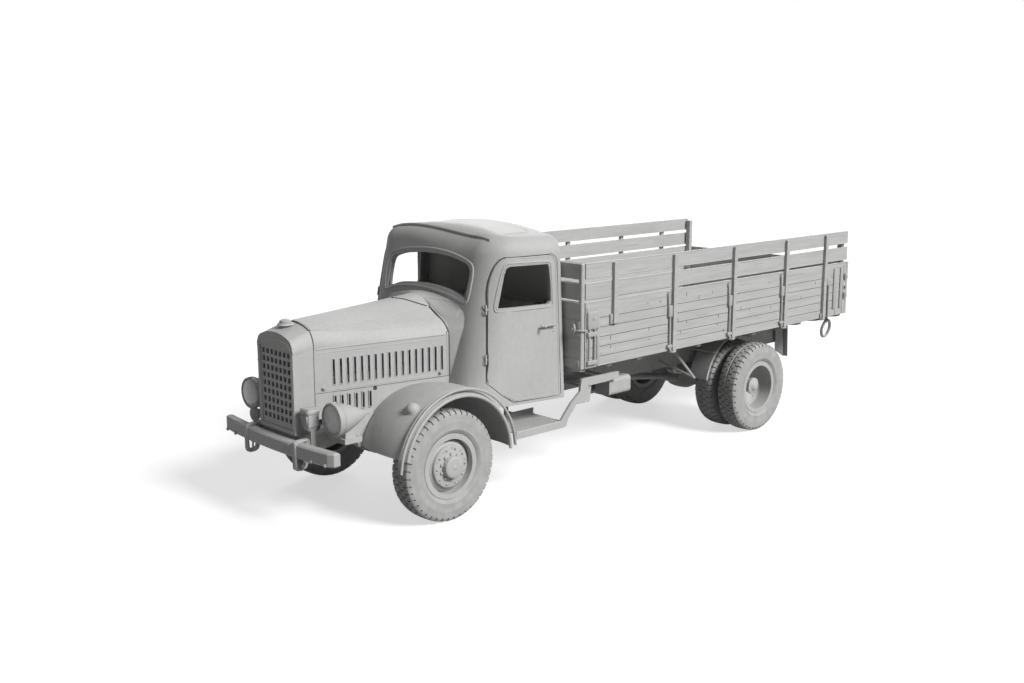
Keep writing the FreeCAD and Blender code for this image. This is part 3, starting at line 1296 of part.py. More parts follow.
for name, make in (("front_fender", fender), ("running_board", running_boards),
                   ("rear_mudguard", rear_mudguard)):
    save(name + "s", both(make()))

for name, make in (("hood_lid", hood_lid), ("door", door), ("knuckle", knuckle), ("front_rim", front_rim),
                   ("front_tyre", front_tyre), ("rear_rims", rear_rims), ("rear_tyres", rear_tyres),
                   ("dropside", dropside), ("stake_rack", stake_rack)):
    left = make()
    save(name + "_left", left)
    save(name + "_right", mirrored(left))
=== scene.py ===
import math

import bpy
from mathutils import Matrix, Vector


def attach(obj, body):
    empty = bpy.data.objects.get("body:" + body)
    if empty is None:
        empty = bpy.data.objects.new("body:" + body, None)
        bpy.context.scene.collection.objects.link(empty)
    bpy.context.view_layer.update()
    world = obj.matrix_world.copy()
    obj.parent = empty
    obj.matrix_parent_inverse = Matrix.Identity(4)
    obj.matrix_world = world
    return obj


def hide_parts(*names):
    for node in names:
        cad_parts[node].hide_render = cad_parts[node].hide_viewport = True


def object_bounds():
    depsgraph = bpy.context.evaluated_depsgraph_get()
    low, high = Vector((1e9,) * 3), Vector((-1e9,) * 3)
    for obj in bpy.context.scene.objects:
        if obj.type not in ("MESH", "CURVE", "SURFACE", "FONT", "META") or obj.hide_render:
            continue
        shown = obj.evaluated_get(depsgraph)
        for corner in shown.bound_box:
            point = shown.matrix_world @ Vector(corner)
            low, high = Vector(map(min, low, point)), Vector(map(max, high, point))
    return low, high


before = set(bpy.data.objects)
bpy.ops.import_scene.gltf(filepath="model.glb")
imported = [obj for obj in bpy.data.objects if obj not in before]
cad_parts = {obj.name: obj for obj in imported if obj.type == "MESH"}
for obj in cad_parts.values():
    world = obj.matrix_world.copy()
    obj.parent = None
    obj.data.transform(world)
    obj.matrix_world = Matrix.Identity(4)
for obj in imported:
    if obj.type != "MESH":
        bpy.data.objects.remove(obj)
cad_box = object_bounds()


# Studio
# A pale floor under the truck, white all round, one broad lamp high on the truck's left and a weak
# one behind its right side. Floor and surroundings read as white, and the floor keeps the shadow.

FLOOR_SIDE = 90.0
FLOOR_BOUNCE = 0.2
FLOOR_GLOW = 0.62
SKY_FILL = 0.1
KEY_STRENGTH = 3.9
KEY_SPREAD = math.radians(20)
KEY_TURN = (math.radians(52), 0.0, math.radians(99))
BACK_STRENGTH = 1.5
BACK_SPREAD = math.radians(30)
BACK_TURN = (math.radians(70), 0.0, math.radians(-140))


def seen_in(tree):
    """1 for rays from the camera, off a gloss or through glass, 0 for the rays that light the truck."""
    ray = tree.nodes.new("ShaderNodeLightPath")
    share = ray.outputs["Is Camera Ray"]
    for kind in ("Is Glossy Ray", "Is Transmission Ray"):
        larger = tree.nodes.new("ShaderNodeMath")
        larger.operation = "MAXIMUM"
        tree.links.new(share, larger.inputs[0])
        tree.links.new(ray.outputs[kind], larger.inputs[1])
        share = larger.outputs[0]
    return share


def white_when_seen(tree, lit, seen, end):
    """Joins the shader that lights the truck and the one that is seen."""
    either = tree.nodes.new("ShaderNodeMixShader")
    tree.links.new(seen_in(tree), either.inputs[0])
    tree.links.new(lit.outputs[0], either.inputs[1])
    tree.links.new(seen.outputs[0], either.inputs[2])
    tree.links.new(either.outputs[0], tree.nodes[end].inputs["Surface"])


def select_nothing():
    bpy.ops.object.select_all(action="DESELECT")


select_nothing()
bpy.ops.mesh.primitive_plane_add(size=FLOOR_SIDE, location=(0.0, 0.0, cad_box[0].z))
floor = bpy.context.object
floor.name = "studio_floor"

floor_finish = bpy.data.materials.new("studio_floor_white")
floor_finish.use_nodes = True
floor_nodes = floor_finish.node_tree
bounced = floor_nodes.nodes["Principled BSDF"]
bounced.inputs["Base Color"].default_value = (FLOOR_BOUNCE, FLOOR_BOUNCE, FLOOR_BOUNCE, 1.0)
bounced.inputs["Roughness"].default_value = 0.9
seen = floor_nodes.nodes.new("ShaderNodeBsdfPrincipled")
for socket, value in (("Base Color", (0.5, 0.5, 0.5, 1.0)), ("Roughness", 0.9), ("Specular IOR Level", 0.0),
                      ("Emission Color", (1.0, 1.0, 1.0, 1.0)), ("Emission Strength", FLOOR_GLOW)):
    seen.inputs[socket].default_value = value
white_when_seen(floor_nodes, bounced, seen, "Material Output")
floor.data.materials.append(floor_finish)

world = bpy.data.worlds.new("studio_surroundings")
bpy.context.scene.world = world
world.use_nodes = True
surroundings = world.node_tree
fill_light = surroundings.nodes["Background"]
fill_light.inputs["Color"].default_value = (1.0, 1.0, 1.0, 1.0)
fill_light.inputs["Strength"].default_value = SKY_FILL
seen_light = surroundings.nodes.new("ShaderNodeBackground")
seen_light.inputs["Color"].default_value = (1.0, 1.0, 1.0, 1.0)
seen_light.inputs["Strength"].default_value = 1.0
white_when_seen(surroundings, fill_light, seen_light, "World Output")

for name, strength, spread, turn in (("key_lamp", KEY_STRENGTH, KEY_SPREAD, KEY_TURN),
                                     ("back_lamp", BACK_STRENGTH, BACK_SPREAD, BACK_TURN)):
    bpy.ops.object.light_add(type="SUN", rotation=turn)
    lamp = bpy.context.object
    lamp.name = name
    lamp.data.energy = strength
    lamp.data.angle = spread


# Camera
# The place from which the truck is seen: ahead of its left front corner, above the roof.

CAMERA_AT = (8.524, -8.8135, 3.568)
CAMERA_LOOKS_DOWN = math.radians(11.06)
CAMERA_TURNED = math.radians(46.735)
CAMERA_LENS = 39.92
SENSOR_WIDTH = 36.0

bpy.ops.object.camera_add(location=CAMERA_AT, rotation=(math.pi / 2 - CAMERA_LOOKS_DOWN, 0.0, CAMERA_TURNED))
camera = bpy.context.object
camera.name = "photograph_camera"
camera.data.lens = CAMERA_LENS
camera.data.sensor_width = SENSOR_WIDTH
bpy.context.scene.camera = camera
bpy.context.scene.view_settings.view_transform = "Standard"


# Chassis frame
# Two riveted channel rails of pressed steel with crossmembers, brushed with matt grey primer.
# Rows of round rivet heads hold the crossmembers, and the springs and tanks hang from it.

RAIL_FACE = 0.4295
RIVET_ROWS = (0.815, 0.925)
RIVET_FIRST, RIVET_PITCH, RIVET_COUNT = -3.22, 0.325, 21
SIDES = (-1.0, 1.0)


class Wire:
    """One value in a finish's nodes, so that a finish can be written as a sum."""

    def __init__(self, tree, socket=None):
        self.tree = tree
        self.socket = socket

    def node(self, kind, settings, feeds, out=0):
        made = self.tree.nodes.new(kind)
        for name, value in settings.items():
            if name == "stops":
                for stop, (at, tone) in zip(made.color_ramp.elements, value):
                    stop.position = at
                    stop.color = (tone, tone, tone, 1.0)
            else:
                setattr(made, name, value)
        for name, value in feeds.items():
            if isinstance(value, Wire):
                self.tree.links.new(value.socket, made.inputs[name])
            else:
                made.inputs[name].default_value = value
        return Wire(self.tree, made.outputs[out])

    def sum(self, operation, first, second):
        return self.node("ShaderNodeMath", {"operation": operation}, {0: first, 1: second})

    def __add__(self, other):
        return self.sum("ADD", self, other)

    def __sub__(self, other):
        return self.sum("SUBTRACT", self, other)

    def __rsub__(self, other):
        return self.sum("SUBTRACT", other, self)

    def __mul__(self, other):
        return self.sum("MULTIPLY", self, other)

    __radd__ = __add__
    __rmul__ = __mul__


class Finish:
    """A finish being mixed: its place on the piece, its grain, and what reaches the shader."""

    def __init__(self, name):
        self.material = bpy.data.materials.new(name)
        self.material.use_nodes = True
        self.tree = self.material.node_tree
        self.shader = self.tree.nodes["Principled BSDF"]
        self.start = Wire(self.tree)
        self.place = self.start.node("ShaderNodeTexCoord", {}, {}, 3)

    def stretched(self, scale):
        return self.start.node("ShaderNodeMapping", {}, {"Vector": self.place, "Scale": scale})

    def grain(self, size, place=None, detail=3.0):
        """Cloudy noise whose patches are about size metres across."""
        feeds = {"Vector": place or self.place, "Scale": 1.0 / size, "Detail": detail}
        return self.start.node("ShaderNodeTexNoise", {}, feeds)

    def bands(self, direction, scale):
        """Even waves along one direction, closer together for a larger scale."""
        feeds = {"Vector": self.place, "Scale": scale}
        return self.start.node("ShaderNodeTexWave", {"bands_direction": direction}, feeds)

    def between(self, value, low, high):
        """The value spread so that low gives 0 and high gives 1."""
        return self.start.node("ShaderNodeMapRange", {"clamp": True}, {"Value": value, 1: low, 2: high})

    def tone(self, dark, light, share):
        feeds = {0: share, 6: (*dark, 1.0), 7: (*light, 1.0)}
        return self.start.node("ShaderNodeMix", {"data_type": "RGBA"}, feeds, 2)

    def lay(self, colour, roughness, height=None, depth=0.0005):
        self.tree.links.new(colour.socket, self.shader.inputs["Base Color"])
        self.tree.links.new(roughness.socket, self.shader.inputs["Roughness"])
        if height:
            raised = self.start.node("ShaderNodeBump", {}, {"Strength": 0.7, "Distance": depth, "Height": height})
            self.tree.links.new(raised.socket, self.shader.inputs["Normal"])
        return self.material


def shaded(tone, share):
    """A tone made darker or lighter."""
    return tuple(min(1.0, c * share) for c in tone)


def grey_primer(name, tone, brushed=0.0):
    """Matt grey primer: faint clouds where it went on thicker, small mottling, fine grit and upright runs."""
    paint = Finish(name)
    clouds = paint.grain(0.55)
    mottle = paint.grain(0.045)
    grit = paint.grain(0.0035, detail=1.0)
    runs = paint.grain(0.03, paint.stretched((1.0, 1.0, 0.12)))
    share = clouds * 0.45 + mottle * 0.25 + grit * 0.15 + runs * 0.15
    colour = paint.tone(shaded(tone, 0.9), shaded(tone, 1.08), paint.between(share, 0.35, 0.65))
    roughness = 0.56 + clouds * 0.14 + grit * 0.08
    height = grit * 0.5 + mottle * 0.6 + runs * brushed
    return paint.lay(colour, roughness, height, 0.0007)


def coat(finish, *nodes):
    """Gives CAD nodes this finish in place of their plain one."""
    for name in nodes:
        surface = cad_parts[name].data.materials
        surface.clear()
        surface.append(finish)


def settled(piece, name, finish, body="chassis"):
    """A finished piece: its place goes into its mesh, and it gets its finish and its body."""
    select_nothing()
    piece.select_set(True)
    bpy.context.view_layer.objects.active = piece
    bpy.ops.object.transform_apply(location=True, rotation=True, scale=True)
    bpy.ops.object.shade_smooth_by_angle(angle=math.radians(32))
    piece.name = name
    piece.data.name = name
    piece.data.materials.clear()
    piece.data.materials.append(finish)
    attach(piece, body)
    return piece


def into_edit(action="SELECT", kind=None):
    """Into edit mode with all of the piece selected, or with nothing."""
    bpy.ops.object.mode_set(mode="EDIT")
    if kind:
        bpy.ops.mesh.select_mode(type=kind)
    bpy.ops.mesh.select_all(action=action)


def out_of_edit():
    bpy.ops.object.mode_set(mode="OBJECT")


def faced_outwards():
    """Turns all of the piece's faces outwards and leaves edit mode."""
    bpy.ops.mesh.select_all(action="SELECT")
    bpy.ops.mesh.normals_make_consistent(inside=False)
    out_of_edit()


def turned(stations, sides, base="NGON"):
    """A round piece along z, drawn out ring by ring from its first (along, radius) station."""
    select_nothing()
    along, radius = stations[0]
    bpy.ops.mesh.primitive_circle_add(vertices=sides, radius=radius, fill_type=base, location=(0.0, 0.0, along))
    piece = bpy.context.object
    bpy.ops.object.transform_apply(location=True)
    into_edit(kind="VERT")
    for next_along, next_radius in stations[1:]:
        step = (0.0, 0.0, next_along - along)
        bpy.ops.mesh.extrude_region_move(TRANSFORM_OT_translate={"value": step})
        grown = next_radius / radius
        centre = (0.0, 0.0, next_along)
        bpy.ops.transform.resize(value=(grown, grown, 1.0), center_override=centre)
        along, radius = next_along, next_radius
    faced_outwards()
    return piece


def copied(piece, place):
    """A copy with its own mesh, put at a place."""
    twin = piece.copy()
    twin.data = piece.data.copy()
    twin.data.transform(place)
    bpy.context.collection.objects.link(twin)
    return twin


def pointed(along, at):
    """The place at a point that turns a piece's z to a direction."""
    return Matrix.Translation(at) @ Vector(along).to_track_quat("Z", "Y").to_matrix().to_4x4()


def gathered(pieces):
    """Several small pieces made one mesh."""
    select_nothing()
    for piece in pieces:
        piece.select_set(True)
    bpy.context.view_layer.objects.active = pieces[0]
    bpy.ops.object.join()
    return bpy.context.object


def used_up(*pieces):
    """Takes away the first-made pieces that were only copied."""
    for piece in pieces:
        bpy.data.objects.remove(piece)


def repeated(piece, places):
    """The piece at each place as one mesh. The first one made is used up."""
    copies = [copied(piece, place) for place in places]
    used_up(piece)
    return gathered(copies)


def mirrored(piece):
    """The same piece for the other side."""
    twin = copied(piece, Matrix.Scale(-1.0, 4, (1.0, 0.0, 0.0)))
    twin.data.flip_normals()
    return twin


def paired(left):
    """A left piece and its mirror image as one piece."""
    return gathered([left, mirrored(left)])


def both_sides(left, name, finish, body):
    """A left piece and its mirror image, each on its own side's body."""
    right = mirrored(left)
    settled(left, f"{name}_left", finish, f"{body}_left")
    settled(right, f"{name}_right", finish, f"{body}_right")


frame_paint = grey_primer("frame_primer", (0.41, 0.41, 0.405), 0.4)
coat(frame_paint, "chassis_frame", "front_bumper", "leaf_springs", "front_axle", "rear_axle", "propeller_shaft",
     "tie_rod", "knuckle_left", "knuckle_right", "exhaust", "side_tanks", "steering_column", "bed_hinges")

rivet = turned(((0.0, 0.012), (0.004, 0.0115), (0.0075, 0.008), (0.009, 0.003)), 10)
places = [pointed((side, 0.0, 0.0), (side * RAIL_FACE, RIVET_FIRST + RIVET_PITCH * number, height))
          for number in range(RIVET_COUNT) for height in RIVET_ROWS for side in SIDES]
settled(repeated(rivet, places), "frame_rivets", frame_paint)


# Engine and radiator
# The engine is a rough grey iron casting, the radiator core is a block of thin dull fins, coloured near-black as
# painted shade of the deep spaces between them.
# The core stands behind a pressed shell whose header plate is left plain.

casting = Finish("engine_casting")
lumps = casting.grain(0.012)
sand = casting.grain(0.002, detail=1.0)
soot = casting.between(casting.grain(0.16), 0.4, 0.7)
iron_tone = casting.tone((0.2, 0.2, 0.195), (0.33, 0.33, 0.325), lumps * 0.6 + soot * 0.4)
coat(casting.lay(iron_tone, 0.62 + sand * 0.2, lumps + sand * 0.6, 0.0015), "engine_block")

# The core's near-black tone, striped along the fins and tubes, is painted shade of the deep spaces between the fins.
core = Finish("radiator_fins_shade")
fins = core.bands("X", 60.0)
tubes = core.bands("Z", 26.0)
fin_shade_tone = core.tone((0.015, 0.015, 0.015), (0.085, 0.085, 0.083), fins * 0.6 + tubes * 0.4)
coat(core.lay(fin_shade_tone, 0.55 + tubes * 0.2, fins, 0.002), "radiator_core")

body_paint = grey_primer("body_primer", (0.425, 0.425, 0.42))
coat(body_paint, "radiator_shell", "radiator_grille", "hood_center", "hood_lid_left", "hood_lid_right", "cab_shell",
     "cab_roof", "cab_floor", "dashboard", "door_left", "door_right", "front_fenders", "headlamps",
     "running_boards", "rear_mudguards")


def in_body_paint(piece, name):
    return settled(piece, name, body_paint)


def rolled_rod(points, radius, closed=False, order=3, around=2):
    """A round rod or rolled bead that follows the points smoothly, made a mesh."""
    select_nothing()
    bpy.ops.curve.primitive_nurbs_path_add()
    curve = bpy.context.object
    curve.data.splines.clear()
    line = curve.data.splines.new("NURBS")
    line.points.add(len(points) - 1)
    for point, at in zip(line.points, points):
        point.co = (*at, 1.0)
    line.order_u = order
    line.use_cyclic_u = closed
    line.use_endpoint_u = not closed
    line.resolution_u = 3
    curve.data.bevel_depth = radius
    curve.data.bevel_resolution = around
    curve.data.use_fill_caps = True
    curve.location = (0.0, 0.0, 0.0)
    bpy.ops.object.convert(target="MESH")
    return bpy.context.object


TO_LEFT, TO_RIGHT = (1.0, 0.0, 0.0), (-1.0, 0.0, 0.0)
TO_REAR, UPWARDS, DOWNWARDS = (0.0, 1.0, 0.0), (0.0, 0.0, 1.0), (0.0, 0.0, -1.0)
FAR_AHEAD = -4.2


def on_node(names, start, direction):
    """Where a straight line from start first meets one of the CAD nodes, and which way it faces there."""
    best = None
    for name in names:
        met, spot, facing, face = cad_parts[name].ray_cast(Vector(start), Vector(direction).normalized())
        if met and (best is None or (spot - Vector(start)).length < best[0]):
            best = ((spot - Vector(start)).length, spot.copy(), facing.copy())
    return (best[1], best[2]) if best else (None, None)


def spots_on(names, starts, direction, lift=0.0):
    """Each start's spot on the CAD nodes, lifted off them by a little, and the way they face there."""
    found = [on_node(names, start, direction) for start in starts]
    return [(spot + facing * lift, facing) for spot, facing in found if spot]


def places_on(names, starts, direction, lift=0.0):
    """The places that stand a piece on the CAD nodes where each start's line meets them."""
    return [pointed(facing, spot) for spot, facing in spots_on(names, starts, direction, lift)]


def modified(piece, kind, **settings):
    """Puts a modifier on a piece and applies it."""
    added = piece.modifiers.new(kind.lower(), kind)
    for name, value in settings.items():
        setattr(added, name, value)
    bpy.ops.object.modifier_apply(modifier=added.name)


def slab(low, high, ease, cuts=2):
    """A plate or block between two corners with its edges eased."""
    select_nothing()
    middle = [(a + b) / 2 for a, b in zip(low, high)]
    bpy.ops.mesh.primitive_cube_add(size=1.0, location=middle, scale=[b - a for a, b in zip(low, high)])
    piece = bpy.context.object
    bpy.ops.object.transform_apply(location=True, rotation=True, scale=True)
    into_edit()
    bpy.ops.mesh.bevel(offset=ease, segments=cuts, affect="EDGES")
    out_of_edit()
    return piece


SHELL_BEAD_Y = -3.6405
SHELL_LINE = ((-0.262, 0.905), (-0.262, 1.25), (-0.262, 1.56), (-0.245, 1.655), (-0.15, 1.68), (0.0, 1.686),
              (0.15, 1.68), (0.245, 1.655), (0.262, 1.56), (0.262, 1.25), (0.262, 0.905))
starts = [(across * 1.03, FAR_AHEAD, height) for across, height in SHELL_LINE]
bead_points = [on_node(["radiator_shell"], (x, y, z), TO_REAR)[0] or (x, SHELL_BEAD_Y, z) for x, y, z in starts]
in_body_paint(rolled_rod(bead_points, 0.0045, order=4), "radiator_shell_bead")

screw = turned(((0.0, 0.0085), (0.0025, 0.0085), (0.0045, 0.006), (0.005, 0.002)), 10)
places = places_on(["radiator_shell"], [(side * 0.279, FAR_AHEAD, height) for side in SIDES
                                        for height in (0.92, 1.1, 1.28, 1.46, 1.62)], TO_REAR)
in_body_paint(repeated(screw, places), "radiator_shell_screws")


# Bonnet
# Two lifting lids of thin sheet on a fixed top strip. Each side has seventeen upright louvres with
# raised lips, rolled beads above and below them, two spring catches and four small rivets.

LOUVRE_FIRST, LOUVRE_PITCH, LOUVRE_COUNT = -3.2585, 0.0676875, 17
LOUVRE_LOW, LOUVRE_HIGH = 1.27, 1.5
NOSE_AT, NOSE_HALF, SIDE_SPREAD = -3.4405, 0.3, 0.1706
LOUVRE_WIDTH, LOUVRE_LIP, LOUVRE_RISE = 0.022, 0.0075, 0.0045


def bonnet_side(along):
    """Half the bonnet's width at a place along it."""
    return NOSE_HALF + (along - NOSE_AT) * SIDE_SPREAD


def louvre_lip(width, height):
    """The raised lip round one louvre: a flat frame drawn out from a plane and eased."""
    select_nothing()
    bpy.ops.mesh.primitive_plane_add(size=1.0)
    piece = bpy.context.object
    piece.scale = (width + 2 * LOUVRE_LIP, height + 2 * LOUVRE_LIP, 1.0)
    bpy.ops.object.transform_apply(scale=True)
    into_edit()
    bpy.ops.mesh.inset(thickness=LOUVRE_LIP, use_boundary=True)
    bpy.ops.mesh.delete(type="FACE")
    bpy.ops.mesh.select_all(action="SELECT")
    bpy.ops.mesh.extrude_region_move(TRANSFORM_OT_translate={"value": (0.0, 0.0, LOUVRE_RISE)})
    bpy.ops.transform.resize(value=(0.93, 0.985, 1.0), center_override=(0.0, 0.0, 0.0))
    faced_outwards()
    return piece


side_turn = Matrix.Rotation(math.atan(SIDE_SPREAD), 4, "Z").inverted()
stood_up = Matrix(((0, 0, 1, 0), (1, 0, 0, 0), (0, 1, 0, 0), (0, 0, 0, 1)))
places = []
for number in range(LOUVRE_COUNT):
    along = LOUVRE_FIRST + LOUVRE_PITCH * number
    spot = (bonnet_side(along) - 0.0005, along, (LOUVRE_LOW + LOUVRE_HIGH) / 2)
    places.append(Matrix.Translation(spot) @ side_turn @ stood_up)
left_lips = repeated(louvre_lip(LOUVRE_WIDTH, LOUVRE_HIGH - LOUVRE_LOW), places)
both_sides(left_lips, "louvre_lips", body_paint, "hood_lid")

REAR_BEAD = -2.118
lines = []
for height, radius in ((1.602, 0.0065), (1.566, 0.004), (1.226, 0.004)):
    points = [(bonnet_side(y) - 0.001, y, height) for y in (-3.425, -3.0, -2.6, -2.2, -2.108)]
    lines.append(rolled_rod(points, radius))
lines.append(rolled_rod([(bonnet_side(REAR_BEAD) - 0.001, REAR_BEAD, z) for z in (1.222, 1.35, 1.5, 1.63)], 0.005))
both_sides(gathered(lines), "bonnet_beads", body_paint, "hood_lid")

rivet = turned(((0.0, 0.0075), (0.002, 0.007), (0.0045, 0.004)), 8)
places = [pointed((1.0, -SIDE_SPREAD, 0.0), (bonnet_side(y) - 0.0005, y, z))
          for y, z in ((-3.385, 1.55), (-2.185, 1.499), (-3.4, 1.3), (-2.15, 1.33))]
both_sides(repeated(rivet, places), "bonnet_rivets", body_paint, "hood_lid")

fitting_paint = grey_primer("fittings_primer", (0.39, 0.39, 0.385), 0.6)


def in_fitting_paint(piece, name):
    return settled(piece, name, fitting_paint)


places = [pointed((1.0, -SIDE_SPREAD, 0.0), (bonnet_side(y) - 0.001, y, 1.251)) for y in (-2.194, -3.36)]
catch = turned(((0.0, 0.019), (0.004, 0.019), (0.006, 0.015), (0.006, 0.009), (0.016, 0.0085), (0.018, 0.012),
                (0.024, 0.012), (0.027, 0.008)), 16)
catch = repeated(catch, [Matrix.Scale(1.4, 4, TO_LEFT)])
both_sides(repeated(catch, places), "bonnet_catches", fitting_paint, "hood_lid")

left_panel = slab((-0.0015, -3.4395, 0.972), (0.0015, -3.268, 1.2035), 0.0008, 1)
for vertex in left_panel.data.vertices:
    vertex.co.x += bonnet_side(vertex.co.y) - 0.003
in_body_paint(paired(left_panel), "nose_side_panels")


# Bonnet top
# The pressed top skins over the bonnet: one on each lid, a fixed strip between them, and the
# scuttle panel behind the arched rear seam. They bridge the hollow along the hinge lines.

TOP_NODES = ["hood_center", "hood_lid_left", "hood_lid_right", "cab_shell"]
SKIN, SKIN_SINK = 0.004, 0.003
TOP_FRONT, TOP_MIDDLE, TOP_REAR, ABOVE_TOP = -3.436, -2.7, -1.935, 2.02
REACH = 0.62
HINGE_AT = 0.246
SEAM_BACK, SEAM_TOP = -2.099, -2.347
NOSE_SEAM, SCUTTLE_SEAM = -3.4445, -2.0975


def top_heights(along, reach=REACH):
    """The bonnet's upper outline across at one place along it, with its hollows bridged, as (x, z)."""
    line = []
    for k in range(-32, 33):
        across = reach * k / 32
        spot = on_node(TOP_NODES, (across, along, ABOVE_TOP), DOWNWARDS)[0]
        if spot:
            line.append((across, spot.z))
    bridged = []
    for point in line:
        while len(bridged) > 1:
            (ax, az), (bx, bz) = bridged[-2:]
            if (bx - ax) * (point[1] - az) - (bz - az) * (point[0] - ax) < 0:
                break
            bridged.pop()
        bridged.append(point)
    return bridged


def height_on(line, across):
    """The height of an (x, z) line at one place across."""
    for (ax, az), (bx, bz) in zip(line, line[1:]):
        if ax <= across <= bx:
            return az + (bz - az) * (across - ax) / (bx - ax)
    return line[0][1] if across < line[0][0] else line[-1][1]


def rear_seam(across):
    """Where the bonnet's arched rear seam lies at a place across it."""
    return SEAM_TOP + (SEAM_BACK - SEAM_TOP) * min(1.0, abs(across) / HINGE_AT) ** 1.25


def top_skin(left_of, right_of, front_of, rear_of, columns, rows):
    """A sheet over the bonnet between two lines across and two along, thick as its pressing."""
    select_nothing()
    bpy.ops.mesh.primitive_grid_add(x_subdivisions=columns, y_subdivisions=rows, size=1.0)
    piece = bpy.context.object
    outlines = {}
    for vertex in piece.data.vertices:
        share_x, share_y = vertex.co.x + 0.5, vertex.co.y + 0.5
        middle = left_of(TOP_MIDDLE) + (right_of(TOP_MIDDLE) - left_of(TOP_MIDDLE)) * share_x
        front, rear = front_of(middle), rear_of(middle)
        along = front + (rear - front) * share_y
        across = left_of(along) + (right_of(along) - left_of(along)) * share_x
        key = round(along, 2)
        if key not in outlines:
            outlines[key] = top_heights(min(max(key, TOP_FRONT), TOP_REAR))
        vertex.co = (across, along, height_on(outlines[key], across) + SKIN * 0.9)
    into_edit()
    bpy.ops.mesh.vertices_smooth(factor=0.5, repeat=2)
    out_of_edit()
    modified(piece, "SOLIDIFY", thickness=SKIN + SKIN_SINK, offset=-1.0)
    modified(piece, "BEVEL", width=0.0015, segments=2, limit_method="ANGLE")
    return piece


LID_FRONT, LID_REAR, BEAD_AT = -3.434, -2.115, 0.2455
hinge_beads = []
for side in SIDES:
    line = []
    for k in range(9):
        along = LID_FRONT + (LID_REAR - LID_FRONT) * k / 8
        line.append((side * BEAD_AT, along, height_on(top_heights(along), BEAD_AT) + 0.004))
    hinge_beads.append(rolled_rod(line, 0.009))
seam_line = []
for k in range(25):
    across = HINGE_AT * (k / 12 - 1)
    along = rear_seam(across)
    seam_line.append((across, along, height_on(top_heights(along), across) + 0.002))
outline = top_heights(-2.086)
for side in SIDES:
    spread = [side * (HINGE_AT + 0.029 * k) for k in range(10)]
    line = [(across, -2.09, height_on(outline, across) + 0.001) for across in spread]
    hinge_beads.append(rolled_rod(line, 0.0075))
in_body_paint(gathered(hinge_beads), "bonnet_seam_beads")

# A dark strip for seams, seals and grommets: partly the dark tone of webbing and rubber, partly painted shade of the
# gaps and holes they fill.
webbing = Finish("webbing_and_gap_shade")
weave = webbing.start.node("ShaderNodeTexChecker", {}, {"Vector": webbing.place, "Scale": 260.0}, 1)
worn_weave = webbing.grain(0.03)
rubber_and_gap_shade = webbing.lay(webbing.tone((0.035, 0.035, 0.035), (0.085, 0.085, 0.083), worn_weave), 0.8 + weave * 0.1,
                         weave, 0.0008)

# The dark rods along the bonnet's seams are partly painted shade of the seam gaps and partly the webbing's own dark
# tone.
seams = [rolled_rod(seam_line, 0.006)]
for side in SIDES:
    outline = top_heights(TOP_FRONT, 0.3)
    line = [(side * 0.03 * k, NOSE_SEAM, height_on(outline, side * 0.03 * k) + 0.001) for k in range(9)]
    starts = [(side * 0.6, -3.446, z) for z in (1.72, 1.66, 1.6, 1.45, 1.3, 1.15, 1.0, 0.9)]
    found = spots_on(["radiator_shell", f"hood_lid_{'left' if side > 0 else 'right'}"], starts, (-side, 0.0, 0.0))
    line += [(spot.x, NOSE_SEAM, spot.z) for spot, facing in found]
    seams.append(rolled_rod(line, 0.0055))
    outline = top_heights(-2.104)
    line = [(side * x, SCUTTLE_SEAM, height_on(outline, side * x) - 0.001) for x in (0.26, 0.32, 0.38, 0.44, 0.49)]
    line += [(side * (bonnet_side(SCUTTLE_SEAM) + 0.001), SCUTTLE_SEAM, z) for z in (1.62, 1.5, 1.35, 1.215)]
    seams.append(rolled_rod(line, 0.005))
settled(gathered(seams), "bonnet_seam_webbing", rubber_and_gap_shade)

# The grommet's dark is partly painted shade of the hole in the side panel and partly its rubber's own dark tone.
grommet = turned(((-0.001, 0.019), (0.003, 0.019), (0.0045, 0.017), (0.004, 0.0145), (0.001, 0.013),
                  (0.001, 0.004)), 20)
grommet = repeated(grommet, places_on(["front_fenders"], [(1.3, -2.865, 1.187)], TO_RIGHT))
settled(paired(grommet), "side_panel_grommets", rubber_and_gap_shade)

for name, half, front, rear, columns, rows in (
        ("bonnet_strip_skin", 0.243, lambda x: -3.438, lambda x: rear_seam(x) - 0.004, 24, 40),
        ("scuttle_strip_skin", 0.243, lambda x: rear_seam(x) + 0.004, lambda x: -2.088, 24, 14),
        ("scuttle_skin", 0.56, lambda x: -2.086, lambda x: -1.955, 36, 8)):
    in_body_paint(top_skin(lambda y: -half, lambda y: half, front, rear, columns, rows), name)
left_skin = top_skin(lambda y: 0.247, lambda y: bonnet_side(y) - 0.058, lambda x: -3.436, lambda x: -2.102, 14, 40)
both_sides(left_skin, "bonnet_lid_skin", body_paint, "hood_lid")


# Cab
# A steel cab welded from pressings. Its window openings are hemmed with rolled beads, the roof
# panel has a raised rim, and the four ribs of a ventilator run under the windscreen.

